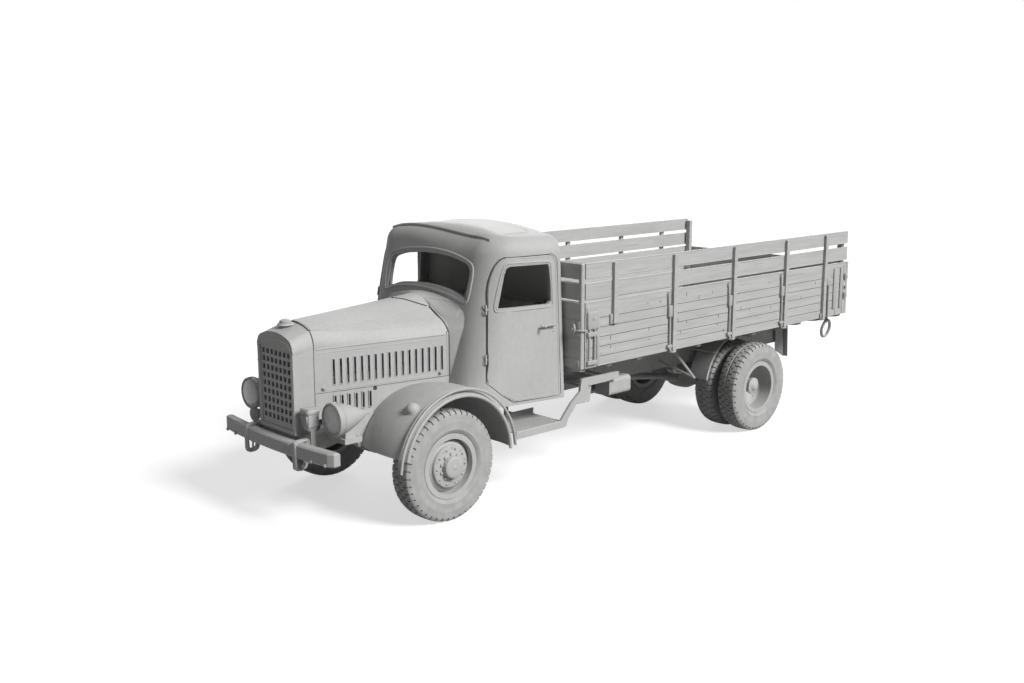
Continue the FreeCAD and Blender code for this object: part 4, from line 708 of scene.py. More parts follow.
FRONT_AXLE = -2.5105
AHEAD, BESIDE, OVERHEAD = -3.2, 1.4, 3.2
SCREEN_BEAD = ((-0.642, 1.905), (-0.652, 2.03), (-0.652, 2.142), (-0.64, 2.215), (-0.605, 2.256), (-0.52, 2.287),
               (-0.434, 2.312), (-0.31, 2.328), (-0.196, 2.339), (-0.08, 2.345), (0.038, 2.348), (0.155, 2.342),
               (0.271, 2.333), (0.39, 2.314), (0.504, 2.289), (0.608, 2.255), (0.64, 2.217), (0.648, 2.14),
               (0.644, 2.03), (0.632, 1.905), (0.6, 1.885), (0.473, 1.915), (0.356, 1.937), (0.239, 1.954),
               (0.12, 1.966), (0.003, 1.973), (-0.118, 1.973), (-0.236, 1.97), (-0.357, 1.958), (-0.477, 1.942),
               (-0.6, 1.89))
WINDOW_BEAD = ((0.676, 1.853), (0.684, 1.822), (0.72, 1.8175), (0.86, 1.819), (1.0, 1.82), (1.14, 1.821),
               (1.262, 1.822), (1.298, 1.83), (1.304, 1.867), (1.3, 1.98), (1.296, 2.1), (1.292, 2.211),
               (1.284, 2.245), (1.25, 2.254), (1.14, 2.257), (1.0, 2.26), (0.88, 2.262), (0.831, 2.262),
               (0.8, 2.252), (0.775, 2.215), (0.74, 2.1), (0.7, 1.96))


def hem(line, start_of, direction, radius, skin, inwards=0.0):
    """A rolled bead laid on the cab's skin along a closed line, half sunk in it."""
    middle = (sum(a for a, b in line) / len(line), sum(b for a, b in line) / len(line))
    starts = []
    for a, b in line:
        a += (middle[0] - a) / abs(middle[0] - a + 1e-9) * inwards
        b += (middle[1] - b) / abs(middle[1] - b + 1e-9) * inwards
        starts.append(start_of(a, b))
    points = [spot for spot, facing in spots_on(skin, starts, direction, -radius * 0.25)]
    return rolled_rod(points, radius, closed=True)


in_body_paint(hem(SCREEN_BEAD, lambda a, b: (a, AHEAD, b), TO_REAR, 0.012, ["cab_shell"]), "windscreen_bead")

SCREEN_MIDDLE = 2.115
frame_line = []
for a, b in SCREEN_BEAD:
    skin_y = on_node(["cab_shell"], (a, AHEAD, b), TO_REAR)[0].y
    frame_line.append((a * 0.912, skin_y + 0.03, SCREEN_MIDDLE + (b - SCREEN_MIDDLE) * 0.845))
in_body_paint(rolled_rod(frame_line, 0.0135, closed=True), "windscreen_frame")

window = hem(WINDOW_BEAD, lambda a, b: (BESIDE, a + FRONT_AXLE, b), TO_RIGHT, 0.0105, ["door_left"])
window_inner = hem(WINDOW_BEAD, lambda a, b: (BESIDE, a + FRONT_AXLE, b), TO_RIGHT, 0.006, ["door_left"], 0.014)
both_sides(gathered([window, window_inner]), "window_beads", body_paint, "door")

ROOF_RIM = ((-0.73, -1.745), (-0.4, -1.748), (0.0, -1.749), (0.4, -1.748), (0.73, -1.745), (0.732, -1.6),
            (0.732, -1.4), (0.73, -1.215), (0.4, -1.212), (0.0, -1.212), (-0.4, -1.212), (-0.73, -1.215),
            (-0.732, -1.4), (-0.732, -1.6))
found = spots_on(["cab_roof"], [(across, along, OVERHEAD) for across, along in ROOF_RIM], DOWNWARDS)
roof_rim = [spot - Vector((0.0, 0.0, 0.003)) for spot, facing in found]
in_body_paint(rolled_rod(roof_rim, 0.009, closed=True), "roof_panel_rim")
found = spots_on(["cab_roof", "cab_shell"], [(-0.735 + 0.105 * k, -1.752, OVERHEAD) for k in range(15)], DOWNWARDS)
lip_line = [spot + Vector((0.0, -0.004, 0.006)) for spot, facing in found]
in_body_paint(rolled_rod(lip_line, 0.014), "roof_panel_lip")

VENT_HEIGHT, VENT_PITCH, VENT_RISE, VENT_HALF = 1.9, 0.02, 0.062, 0.62
vent_bars = []
for number in range(4):
    starts = []
    for k in range(13):
        across = -0.58 + 1.16 * k / 12
        crown = VENT_RISE * (1.0 - (across / VENT_HALF) ** 2)
        starts.append((across, AHEAD, VENT_HEIGHT + crown - VENT_PITCH * number))
    points = [spot for spot, facing in spots_on(["cab_shell"], starts, TO_REAR, -0.001)]
    vent_bars.append(rolled_rod(points, 0.0062))
in_body_paint(gathered(vent_bars), "windscreen_vents")


# Doors
# Pressed steel doors with a lever handle and a lock below it. A rolled bead runs round the edge, and a dark rubber
# seal fills the gap, its dark partly painted shade of the gap.


def door_skin(y_from_axle, z):
    """Where the left door's skin is, at a distance behind the front axle and a height."""
    return on_node(["door_left", "cab_shell"], (BESIDE, y_from_axle + FRONT_AXLE, z), TO_RIGHT)[0]


def spaced(line, gap=0.09):
    """Places about a gap apart all along a closed line."""
    places = []
    for (y, z), (next_y, next_z) in zip(line, line[1:] + line[:1]):
        parts = max(1, int(math.hypot(next_y - y, next_z - z) / gap))
        places += [(y + (next_y - y) * k / parts, z + (next_z - z) * k / parts) for k in range(parts)]
    return places


DOOR_EDGE = ((0.57, 1.17), (0.61, 1.58), (0.656, 2.0), (0.676, 2.095), (0.709, 2.192), (0.733, 2.242),
             (0.765, 2.283), (0.8, 2.3), (1.03, 2.302), (1.268, 2.303), (1.325, 2.288), (1.344, 2.232),
             (1.345, 1.9), (1.345, 1.4), (1.345, 0.985), (1.322, 0.972), (1.08, 0.971), (0.826, 0.971),
             (0.69, 1.066))
DOOR_GAP = ((0.557, 1.17), (0.599, 1.58), (0.642, 2.0), (0.662, 2.099), (0.696, 2.197), (0.722, 2.25),
            (0.757, 2.295), (0.794, 2.314), (1.03, 2.316), (1.272, 2.317), (1.334, 2.298), (1.36, 2.232),
            (1.36, 1.9), (1.36, 1.4), (1.36, 0.98), (1.336, 0.956), (1.08, 0.956), (0.819, 0.956),
            (0.675, 1.058))
DOOR_MIDDLE = Vector((1.0, 1.6))
GAP_INSET, SEAL_SINK, EDGE_SINK = 0.012, 0.0035, 0.0015

grip_end = turned(((-0.02, 0.005), (-0.012, 0.011), (0.006, 0.0125), (0.016, 0.009), (0.019, 0.003)), 14)
lever_at = door_skin(1.14, 1.652) + Vector((0.034, 0.0, 0.0))
grip_end = repeated(grip_end, [pointed((0.0, -1.0, 0.0), lever_at)])
lock = turned(((-0.002, 0.01), (0.002, 0.01), (0.004, 0.008), (0.0025, 0.004)), 14)
lock = repeated(lock, [pointed((1.0, 0.0, 0.05), door_skin(1.3, 1.585))])
both_sides(gathered([grip_end, lock]), "door_handle", fitting_paint, "door")

found = [door_skin(y, z) for y, z in spaced(DOOR_EDGE)]
edge_points = [spot - Vector((EDGE_SINK, 0.0, 0.0)) for spot in found if spot]
both_sides(rolled_rod(edge_points, 0.005, closed=True), "door_edge_bead", body_paint, "door")

seal_points = []
for y, z in spaced(DOOR_GAP):
    inside = (DOOR_MIDDLE - Vector((y, z))).normalized() * GAP_INSET
    spot = door_skin(y + inside.x, z + inside.y)
    if spot:
        seal_points.append((spot.x - SEAL_SINK, y + FRONT_AXLE, z))
# The seal's dark is partly painted shade of the door gap and partly the rubber's own dark tone.
both_sides(rolled_rod(seal_points, 0.0045, closed=True), "door_seal", rubber_and_gap_shade, "door")


# Seat
# A driver's and mate's bench: two stuffed pads covered in coarse grey leathercloth, with piped
# seams, on a pressed box.

cover = Finish("seat_cover_cloth")
pebbles = cover.start.node("ShaderNodeTexVoronoi", {}, {"Vector": cover.place, "Scale": 330.0})
creases = cover.grain(0.05, cover.stretched((0.4, 1.0, 1.0)))
worn = cover.between(cover.grain(0.22), 0.42, 0.66)
cover_tone = cover.tone((0.25, 0.25, 0.245), (0.36, 0.36, 0.355), worn * 0.6 + creases * 0.4)
seat_cover = cover.lay(cover_tone, 0.72 - worn * 0.14, pebbles * 0.5 + creases, 0.0012)

SEAT_PADS = {"seat_cushion": ((-0.806, -1.64, 1.312), (0.806, -1.252, 1.418)),
             "seat_back": ((-0.806, -1.228, 1.322), (0.806, -1.132, 1.85))}
SWELL_LIMIT, SWELL_PRESSURE, SWELL_STEPS = 0.012, 4.0, 20


def choose(piece, kind, wanted):
    """Into edit mode with only the wanted faces or corners of a piece selected."""
    into_edit("DESELECT", kind)
    out_of_edit()
    for part in piece.data.polygons if kind == "FACE" else piece.data.vertices:
        part.select = wanted(part)
    bpy.ops.object.mode_set(mode="EDIT")


def stuffed(low, high):
    """A pad that swells under its cover as a real stuffed one does, its movement capped."""
    piece = slab(low, high, 0.028, 4)
    into_edit()
    bpy.ops.mesh.subdivide(number_cuts=2)
    out_of_edit()
    modified(piece, "REMESH", mode="VOXEL", voxel_size=0.01)
    rest = [v.co.copy() for v in piece.data.vertices]
    cloth = piece.modifiers.new("swell", "CLOTH")
    cloth.settings.use_pressure = True
    cloth.settings.uniform_pressure_force = SWELL_PRESSURE
    cloth.settings.effector_weights.gravity = 0.0
    for step in range(1, SWELL_STEPS + 1):
        bpy.context.scene.frame_set(step)
    grown = piece.evaluated_get(bpy.context.evaluated_depsgraph_get())
    swollen = [v.co.copy() for v in grown.data.vertices]
    piece.modifiers.clear()
    for vertex, old, new in zip(piece.data.vertices, rest, swollen):
        moved = new - old
        if moved.length > SWELL_LIMIT:
            moved *= SWELL_LIMIT / moved.length
        vertex.co = old + moved
    bpy.context.scene.frame_set(1)
    modified(piece, "SUBSURF", levels=1, render_levels=1)
    return piece


for name, (low, high) in SEAT_PADS.items():
    pad = settled(stuffed(low, high), name, seat_cover)
    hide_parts("seat")

PIPED_HALF = 0.798
piping = []
for z, y in ((1.408, -1.632), (1.322, -1.634)):
    line = [(PIPED_HALF * share, y + (0.01 if abs(share) == 1 else 0.0), z) for share in (-1, -0.5, 0, 0.5, 1)]
    piping.append(rolled_rod(line, 0.0045, around=1))
for across in (-0.27, 0.27):
    piping.append(rolled_rod([(across, -1.63, 1.415), (across, -1.5, 1.424), (across, -1.36, 1.424),
                              (across, -1.26, 1.416)], 0.004, around=1))
    piping.append(rolled_rod([(across, -1.229, 1.35), (across, -1.234, 1.5), (across, -1.234, 1.7),
                              (across, -1.226, 1.835)], 0.004, around=1))
settled(gathered(piping), "seat_piping", seat_cover)

seat_box = slab((-0.8, -1.63, 1.032), (0.8, -1.125, 1.312), 0.012)
choose(seat_box, "FACE", lambda face: face.normal.y < -0.9 and face.area > 0.1)
bpy.ops.mesh.inset(thickness=0.045, depth=-0.008)
out_of_edit()
in_body_paint(seat_box, "seat_box")
back_board = slab((-0.81, -1.13, 1.3), (0.81, -1.118, 1.852), 0.004)
in_body_paint(back_board, "seat_back_board")


# Controls
# A steel dash with round dials in bezels, a ribbed grip on the steering wheel, two levers with ball
# knobs and three pedals on the sloping floor.

grip = Finish("steering_grip")
rubbed = grip.between(grip.grain(0.05), 0.4, 0.65)
ribs = grip.bands("DIAGONAL", 24.0)
grip_tone = grip.tone((0.25, 0.25, 0.245), (0.34, 0.34, 0.335), rubbed)
coat(grip.lay(grip_tone, 0.5 - rubbed * 0.12, ribs * 0.4, 0.0008), "steering_wheel")

dial_face = Finish("dial_faces")
dust = dial_face.grain(0.01)
dial_paint = dial_face.lay(dial_face.tone((0.06, 0.06, 0.06), (0.1, 0.1, 0.1), dust), 0.35 + dust * 0.15)

DASH_FACE, DIAL_HEIGHT, KNOB_HEIGHT = -1.863, 1.765, 1.705
bezel = turned(((-0.002, 0.047), (0.008, 0.047), (0.011, 0.044), (0.011, 0.04), (0.004, 0.038)), 32)
bezels = []
faces = []
for across, size in ((0.42, 1.0), (0.3, 0.72), (0.54, 0.72), (0.1, 0.62)):
    at = pointed(TO_REAR, (across, DASH_FACE, DIAL_HEIGHT)) @ Matrix.Scale(size, 4)
    bezels.append(copied(bezel, at))
    face = turned(((0.001, 0.039), (0.0048, 0.039), (0.0052, 0.036)), 32)
    faces.append(repeated(face, [at]))
used_up(bezel)
settled(gathered(bezels), "dash_bezels", fitting_paint)
settled(gathered(faces), "dash_dials", dial_paint)

knob = turned(((0.0, 0.004), (0.01, 0.004), (0.011, 0.011), (0.02, 0.012), (0.023, 0.008)), 14)
places = [pointed(TO_REAR, (across, DASH_FACE, KNOB_HEIGHT)) for across in (-0.05, 0.02, 0.2, 0.26)]
settled(repeated(knob, places), "dash_knobs", dial_paint)

glove_lid = slab((-0.5, -1.866, 1.695), (-0.2, -1.859, 1.835), 0.003)
in_body_paint(glove_lid, "dash_locker_lid")

levers = [rolled_rod(line, 0.009, order=4) for line in (
    ((0.02, -1.93, 1.1), (0.02, -1.86, 1.24), (0.03, -1.74, 1.4), (0.04, -1.72, 1.47)),
    ((-0.1, -1.9, 1.1), (-0.1, -1.84, 1.22), (-0.1, -1.76, 1.34)))]
ball = turned(((-0.02, 0.012), (-0.013, 0.02), (0.0, 0.024), (0.013, 0.02), (0.021, 0.009), (0.023, 0.003)), 16)
levers.append(repeated(ball, [pointed((0.0, 0.15, 1.0), (0.041, -1.718, 1.485)),
                              pointed((0.0, 0.55, 1.0), (-0.1, -1.752, 1.352))]))
in_fitting_paint(gathered(levers), "floor_levers")

pedals = []
for across in (0.3, 0.42, 0.54):
    pedals.append(slab((across - 0.035, -1.935, 1.19), (across + 0.035, -1.923, 1.262), 0.004))
    pedals.append(rolled_rod([(across, -1.934, 1.2), (across, -1.965, 1.15), (across, -1.985, 1.09)], 0.008))
in_fitting_paint(gathered(pedals), "foot_pedals")


# Front wings and lamps
# Deep pressed wings with a wide rolled lip, a row of six cooling slots in each inner panel, and a
# domed marker lamp. Two head lamps stand on bolted pedestals. A hooded lamp sits beside the
# radiator, and a horn hangs under the right head lamp.

SLOT_FIRST, SLOT_PITCH, SLOT_COUNT, SLOT_MIDDLE = -3.2555, 0.0677, 6, 1.0975
places = []
for number in range(SLOT_COUNT):
    along = SLOT_FIRST + SLOT_PITCH * number
    spot = on_node(["front_fenders"], (1.2, along + 0.03, 1.1), TO_RIGHT)[0]
    if spot:
        places.append(Matrix.Translation((spot.x, along, SLOT_MIDDLE)) @ side_turn @ stood_up)
left_slots = repeated(louvre_lip(LOUVRE_WIDTH, 0.145), places)
in_body_paint(paired(left_slots), "apron_slot_lips")

ARCH_Y, ARCH_Z = -2.4705, 0.56
lips = []
for x, radius, reach in ((1.1215, 0.0125, 0.673), (1.094, 0.005, 0.68)):
    turns = [math.radians(177 - 174 * k / 20) for k in range(21)]
    lips.append(rolled_rod([(x, ARCH_Y + reach * math.cos(turn), ARCH_Z + reach * math.sin(turn)) for turn in turns],
                           radius))
in_body_paint(paired(gathered(lips)), "wing_lips")

glass = Finish("lamp_glass")
flutes = glass.bands("X", 22.0)
bloom = glass.grain(0.08)
glass_tone = glass.tone((0.4, 0.4, 0.395), (0.5, 0.5, 0.495), bloom)
lamp_glass = glass.lay(glass_tone, 0.22 + bloom * 0.12, flutes, 0.0012)
glass.shader.inputs["Coat Weight"].default_value = 0.3

LAMP_X, LAMP_Y, LAMP_Z = 0.67, -3.5205, 1.06
lens = turned(((0.004, 0.128), (-0.006, 0.128), (-0.014, 0.112), (-0.02, 0.085), (-0.0235, 0.05), (-0.025, 0.012)),
              40)
lenses = repeated(lens, [pointed(TO_REAR, (side * LAMP_X, LAMP_Y + 0.004, LAMP_Z)) for side in SIDES])
settled(lenses, "headlamp_lenses", lamp_glass)

rim = turned(((0.006, 0.131), (-0.006, 0.131), (-0.011, 0.136), (-0.011, 0.143), (-0.005, 0.1475), (0.03, 0.1475),
              (0.034, 0.145)), 48)
clip = slab((-0.01, -0.012, 0.14), (0.01, 0.04, 0.154), 0.003)
rims = []
for side in SIDES:
    at = (side * LAMP_X, LAMP_Y, LAMP_Z)
    rims.append(copied(rim, pointed(TO_REAR, at)))
    rims.append(copied(clip, Matrix.Translation(at)))
used_up(rim, clip)
in_body_paint(gathered(rims), "headlamp_rims")

dome = turned(((-0.01, 0.06), (0.0, 0.06), (0.006, 0.057), (0.007, 0.052), (0.022, 0.05), (0.036, 0.042),
               (0.046, 0.03), (0.052, 0.015), (0.054, 0.004)), 28)
places = places_on(["front_fenders"], [(side * 0.95, -2.8745, 2.0) for side in SIDES], DOWNWARDS)
in_body_paint(repeated(dome, [place @ Matrix.Scale(1.1, 4) for place in places]), "marker_lamps")

second = turned(((-0.004, 0.137), (0.004, 0.1445), (0.012, 0.1445), (0.02, 0.137)), 48)
places = [pointed(TO_REAR, (side * LAMP_X, LAMP_Y + 0.048, LAMP_Z)) for side in SIDES]
in_body_paint(repeated(second, places), "headlamp_bands")

horn = turned(((-0.02, 0.012), (-0.016, 0.03), (-0.014, 0.066), (-0.008, 0.074), (0.006, 0.075), (0.016, 0.068),
               (0.022, 0.05), (0.05, 0.04), (0.095, 0.036), (0.105, 0.024)), 32)
horn = repeated(horn, [pointed(TO_REAR, (-0.64, -3.5, 0.86))])
horn_arm = rolled_rod([(-0.64, -3.45, 0.86), (-0.6, -3.4, 0.84), (-0.52, -3.36, 0.84), (-0.43, -3.36, 0.85)],
                      0.012, order=4)
in_fitting_paint(gathered([horn, horn_arm]), "horn")

hood_cap = slab((0.34, -3.64, 1.07), (0.474, -3.505, 1.128), 0.024, 5)
cowl_body = slab((0.352, -3.628, 0.93), (0.464, -3.512, 1.075), 0.01, 3)
choose(cowl_body, "VERT", lambda corner: corner.co.z < 0.96)
bpy.ops.transform.resize(value=(0.72, 0.72, 1.0), center_override=(0.408, -3.56, 0.93))
out_of_edit()
hooded = [hood_cap, cowl_body]
for across, foot in ((0.372, 0.384), (0.396, 0.4), (0.42, 0.417), (0.444, 0.432)):
    hooded.append(rolled_rod([(across, -3.63, 1.07), (across, -3.629, 1.03), ((across + foot) / 2, -3.618, 0.98),
                              (foot, -3.606, 0.938)], 0.0095))
in_body_paint(gathered(hooded), "hooded_lamp")

bolt = turned(((0.0, 0.02), (0.003, 0.02), (0.003, 0.013), (0.013, 0.0125), (0.015, 0.01)), 6)
starts = [(side * across, along, 0.99) for side in SIDES for across in (0.66, 0.5) for along in (-3.4, -3.27)]
found = spots_on(["headlamps", "front_fenders"], starts, DOWNWARDS)
in_fitting_paint(repeated(bolt, [pointed(UPWARDS, spot) for spot, facing in found]), "lamp_pedestal_bolts")


# Front bumper fittings
# Hexagon bolts hold the steel beam on its irons. Looped straps of round iron stand on each side
# of the nose, and a shackle hangs beside the right one.

bolt = turned(((0.0, 0.017), (0.01, 0.0165), (0.012, 0.014), (0.012, 0.008), (0.019, 0.0075)), 6)
starts = [(side * across, FAR_AHEAD, 0.72) for side in SIDES for across in (0.62, 0.8)]
in_fitting_paint(repeated(bolt, places_on(["front_bumper"], starts, TO_REAR, -0.001)), "bumper_bolts")


def upright_rod(across, line, radius, **more):
    """A rod that lies in one plane along the truck, its points given as (y, z)."""
    return rolled_rod([(across, y, z) for y, z in line], radius, **more)


STRAP = ((-3.6, 0.846), (-3.7, 0.848), (-3.729, 0.842), (-3.731, 0.8), (-3.731, 0.72), (-3.731, 0.66),
         (-3.728, 0.622), (-3.7, 0.598), (-3.655, 0.598), (-3.625, 0.618), (-3.622, 0.65))
STAPLE = ((-3.728, 0.822), (-3.736, 0.812), (-3.736, 0.745), (-3.728, 0.738))
irons = [upright_rod(across, STRAP, 0.0145, order=4) for across in (0.385, 0.411)]
irons.append(slab((0.378, -3.7455, 0.622), (0.418, -3.722, 0.848), 0.007, 3))
irons = [paired(gathered(irons))] + [upright_rod(across, STAPLE, 0.0085) for across in (0.22, 0.25, 0.28, 0.31)]
in_fitting_paint(gathered(irons), "bumper_irons")

bow = rolled_rod([(-0.3, -3.726, 0.715), (-0.302, -3.732, 0.66), (-0.275, -3.733, 0.622), (-0.24, -3.732, 0.66),
                  (-0.242, -3.726, 0.715)], 0.0095, order=4)
pin = turned(((-0.05, 0.009), (-0.046, 0.015), (-0.036, 0.015), (-0.034, 0.01), (0.034, 0.01), (0.036, 0.015),
              (0.046, 0.015), (0.05, 0.009)), 12)
pin = repeated(pin, [pointed(TO_LEFT, (-0.271, -3.728, 0.722))])
in_fitting_paint(gathered([bow, pin]), "bumper_shackle")


# Running boards
# Pressed steps whose treads are stippled with rows of small studs.

stud = turned(((-0.0005, 0.0085), (0.0035, 0.0065), (0.0045, 0.003)), 6)
TREAD_TOP, TREAD_END = 0.7045, -1.182
places = []
for row in range(14):
    for number in range(22):
        along = -1.76 + 0.0275 * (number + 0.5 * (row % 2))
        if along <= TREAD_END:
            places += [Matrix.Translation((side * (0.735 + 0.027 * row), along, TREAD_TOP)) for side in SIDES]
in_body_paint(repeated(stud, places), "step_studs")

edges = [upright_rod(1.119, ((-1.79, 0.706), (-1.6, 0.706), (-1.3, 0.706), (-1.19, 0.707)), 0.0105),
         upright_rod(0.722, ((-1.79, 0.706), (-1.5, 0.706), (-1.17, 0.706)), 0.006)]
in_body_paint(paired(gathered(edges)), "step_edges")


# Bed
# Planks and stake boards of softwood painted the same grey, their grain showing through, nailed to
# hardwood posts. The bottom rests on cross bearers, and the sides drop on iron hinges.


def painted_wood(name, stretch, tone):
    """Grey paint on softwood: long fibres and a few dark splits along the board."""
    wood = Finish(name)
    along = wood.stretched(stretch)
    fibre = wood.grain(0.012, along, 4.0)
    bands = wood.grain(0.05, along, 2.0)
    longer = wood.stretched(tuple(s * 0.45 if s < 1 else s for s in stretch))
    splits = wood.between(wood.grain(0.02, longer, 2.0), 0.69, 0.73)
    clouds = wood.grain(0.4)
    share = fibre * 0.45 + bands * 0.35 + clouds * 0.2
    plain = wood.tone(shaded(tone, 0.86), shaded(tone, 1.1), wood.between(share, 0.34, 0.64))
    cracked = wood.start.node("ShaderNodeMix", {"data_type": "RGBA"},
                              {0: splits * 0.45, 6: plain, 7: (0.17, 0.17, 0.168, 1.0)}, 2)
    return wood.lay(cracked, 0.64 + fibre * 0.16, fibre * 0.9 + bands * 0.5 - splits * 1.2, 0.0016)


long_wood = painted_wood("side_plank_wood", (1.0, 0.045, 1.0), (0.43, 0.43, 0.425))
cross_wood = painted_wood("cross_plank_wood", (0.045, 1.0, 1.0), (0.43, 0.43, 0.425))
coat(long_wood, "bed_floor", "bed_frame", "dropside_left", "dropside_right", "stake_rack_left", "stake_rack_right")
coat(cross_wood, "bed_bearers", "headboard", "tailgate")

POSTS = (-0.6005, 0.3195, 1.3485, 2.3475, 3.1695)
PLANK_MIDS = (1.264, 1.36, 1.455, 1.551, 1.646, 1.774)
SIDE_FACE = 1.243

nail = turned(((-0.0005, 0.0062), (0.0012, 0.006), (0.002, 0.003)), 8)
places = [pointed(TO_LEFT, (SIDE_FACE, post + offset, height + above)) for post in POSTS for height in PLANK_MIDS
          for offset in (-0.042, 0.042) for above in (0.012, -0.014)]
both_sides(repeated(nail, places), "side_nails", fitting_paint, "dropside")

bolt = turned(((0.0, 0.016), (0.002, 0.016), (0.002, 0.0105), (0.009, 0.01), (0.011, 0.008), (0.011, 0.005),
               (0.0145, 0.0045)), 6)
POST_FACE = 1.2625
places = [pointed(TO_LEFT, (POST_FACE, post, height)) for post in POSTS
          for height in ((1.66, 1.72) if post == POSTS[0] else (1.25, 1.4, 1.55, 1.7, 1.8))]
both_sides(repeated(bolt, places), "post_bolts", fitting_paint, "dropside")


def side_plate(low, high, proud, ease, cuts=2):
    """A plate or case on the side's face between two (y, z) corners."""
    return slab((SIDE_FACE - 0.001, *low), (SIDE_FACE + proud, *high), ease, cuts)


def side_latch(y, top, low):
    """A spring latch that holds the stake boards: a thumb lever over a case, and its long bolt below."""
    x = SIDE_FACE
    lever = slab((x + 0.006, y - 0.026, top - 0.13), (x + 0.022, y + 0.012, top - 0.012), 0.006, 3)
    loop = rolled_rod([(x + 0.004, y - 0.03, top - 0.05), (x + 0.012, y - 0.033, top - 0.008),
                       (x + 0.018, y - 0.007, top + 0.01), (x + 0.012, y + 0.019, top - 0.008),
                       (x + 0.004, y + 0.016, top - 0.05)], 0.0065, order=4)
    case = side_plate((y - 0.024, top - 0.262), (y + 0.036, top - 0.142), 0.031, 0.009, 3)
    bolt = upright_rod(x + 0.015, ((y + 0.008, top - 0.25), (y + 0.009, (top + low) / 2), (y + 0.01, low)), 0.0125)
    return [lever, loop, case, bolt, side_plate((y - 0.03, low + 0.02), (y + 0.046, low + 0.052), 0.03, 0.006)]


latches = side_latch(0.25, 1.838, 1.232) + side_latch(1.277, 1.838, 1.232) + side_latch(2.276, 1.838, 1.236)
latches += [side_plate((3.212, 1.602), (3.3, 1.702), 0.033, 0.01, 3),
            upright_rod(SIDE_FACE + 0.016, ((3.268, 1.61), (3.272, 1.4), (3.276, 1.2)), 0.0115)]
for y, z, tall, wide in ((-0.601, 1.662, 0.05, 0.06), *((post, 1.236, 0.04, 0.052) for post in POSTS[1:])):
    latches.append(side_plate((y - wide, z - tall), (y + wide, z + tall), 0.019, 0.006))
latches.append(slab((SIDE_FACE - 0.006, -0.985, 1.59), (SIDE_FACE + 0.026, -0.815, 1.772), 0.02, 5))
for y in (-0.957, -0.88):
    latches.append(rolled_rod([(SIDE_FACE + 0.014, y, 1.62), (SIDE_FACE + 0.015, y, 1.45),
                               (SIDE_FACE + 0.014, y, 1.262)], 0.0125))
for z in (1.268, 1.545):
    latches.append(side_plate((-0.985, z - 0.022), (-0.852, z + 0.022), 0.03, 0.008, 3))
latches.append(side_plate((-0.842, 1.225), (-0.802, 1.64), 0.01, 0.005))
for y, wide in ((3.425, 0.034), (3.565, 0.03)):
    latches.append(side_plate((y - wide, 1.3), (y + wide, 1.8), 0.016, 0.007))
both_sides(gathered(latches), "side_latches", fitting_paint, "dropside")

hook = turned(((-0.002, 0.03), (0.006, 0.03), (0.01, 0.022), (0.012, 0.014), (0.022, 0.014), (0.025, 0.02),
               (0.031, 0.02), (0.033, 0.014)), 18)
hooks_at = ((3.648, 1.692), (3.648, 1.555), (3.648, 1.461), (-0.9, 1.7))
grips = [repeated(hook, [pointed(TO_LEFT, (SIDE_FACE, y, z)) for y, z in hooks_at])]
for z in (1.692, 1.461):
    grips.append(rolled_rod([(SIDE_FACE + 0.02, 3.64, z + 0.032), (SIDE_FACE + 0.026, 3.668, z + 0.012),
                             (SIDE_FACE + 0.026, 3.668, z - 0.035), (SIDE_FACE + 0.02, 3.64, z - 0.055),
                             (SIDE_FACE + 0.018, 3.622, z - 0.02), (SIDE_FACE + 0.018, 3.622, z + 0.018)],
                            0.0075, closed=True, order=4))
both_sides(gathered(grips), "corner_hooks", fitting_paint, "dropside")

loops = [rolled_rod([(1.15, -1.066, 1.655), (1.18, -1.09, 1.65), (1.196, -1.094, 1.6), (1.172, -1.09, 1.56),
                     (1.14, -1.076, 1.59)], 0.0105, closed=True, order=4),
         rolled_rod([(1.15, -1.06, 1.6), (1.19, -1.086, 1.59), (1.236, -1.082, 1.596), (1.262, -1.045, 1.596),
                     (1.262, -1.0, 1.592)], 0.01, order=4),
         slab((1.16, -1.064, 1.545), (1.22, -1.05, 1.68), 0.005),
         slab((1.16, -1.064, 1.24), (1.22, -1.05, 1.3), 0.005)]
in_fitting_paint(paired(gathered(loops)), "headboard_hooks")

# The boards' planed edges catch the light, and the weather has left a few short splits in them.
# The dark slabs in the splits and in the joints between the planks are painted shade of the cracks and grooves.
BOARD_EDGES = (1.85, 1.888, 2.035, 2.088, 2.226)
EDGE_AT = SIDE_FACE - 0.004
edges = [upright_rod(EDGE_AT, ((-0.994, z), (0.8, z), (2.2, z), (3.672, z)), 0.0065) for z in BOARD_EDGES]
edges += [upright_rod(EDGE_AT, ((y, low), (y, (low + high) / 2), (y, high)), 0.006)
          for low, high in ((1.23, 1.85), (1.888, 2.035), (2.088, 2.226)) for y in (-0.993, 3.671)]
both_sides(gathered(edges), "board_edges", long_wood, "dropside")

edges = [rolled_rod([(x, y, z) for x in (-1.236, -0.5, 0.5, 1.236)], 0.006)
         for z in BOARD_EDGES for y in (-1.052, -0.997)]
settled(gathered(edges), "headboard_edges", cross_wood)

SPLITS = ((-0.082, 1.752), (0.111, 1.748), (0.751, 1.726), (0.986, 1.756), (0.54, 1.78), (2.039, 1.758),
          (2.703, 1.514), (-0.636, 1.473), (-0.633, 1.383), (-0.056, 1.488), (-0.053, 1.382), (0.555, 1.487),
          (0.408, 1.52), (0.457, 1.391), (1.51, 1.52), (1.676, 1.485), (2.081, 1.472), (1.102, 1.488),
          (1.089, 1.395), (1.204, 1.313), (-0.771, 1.333), (2.995, 1.66))
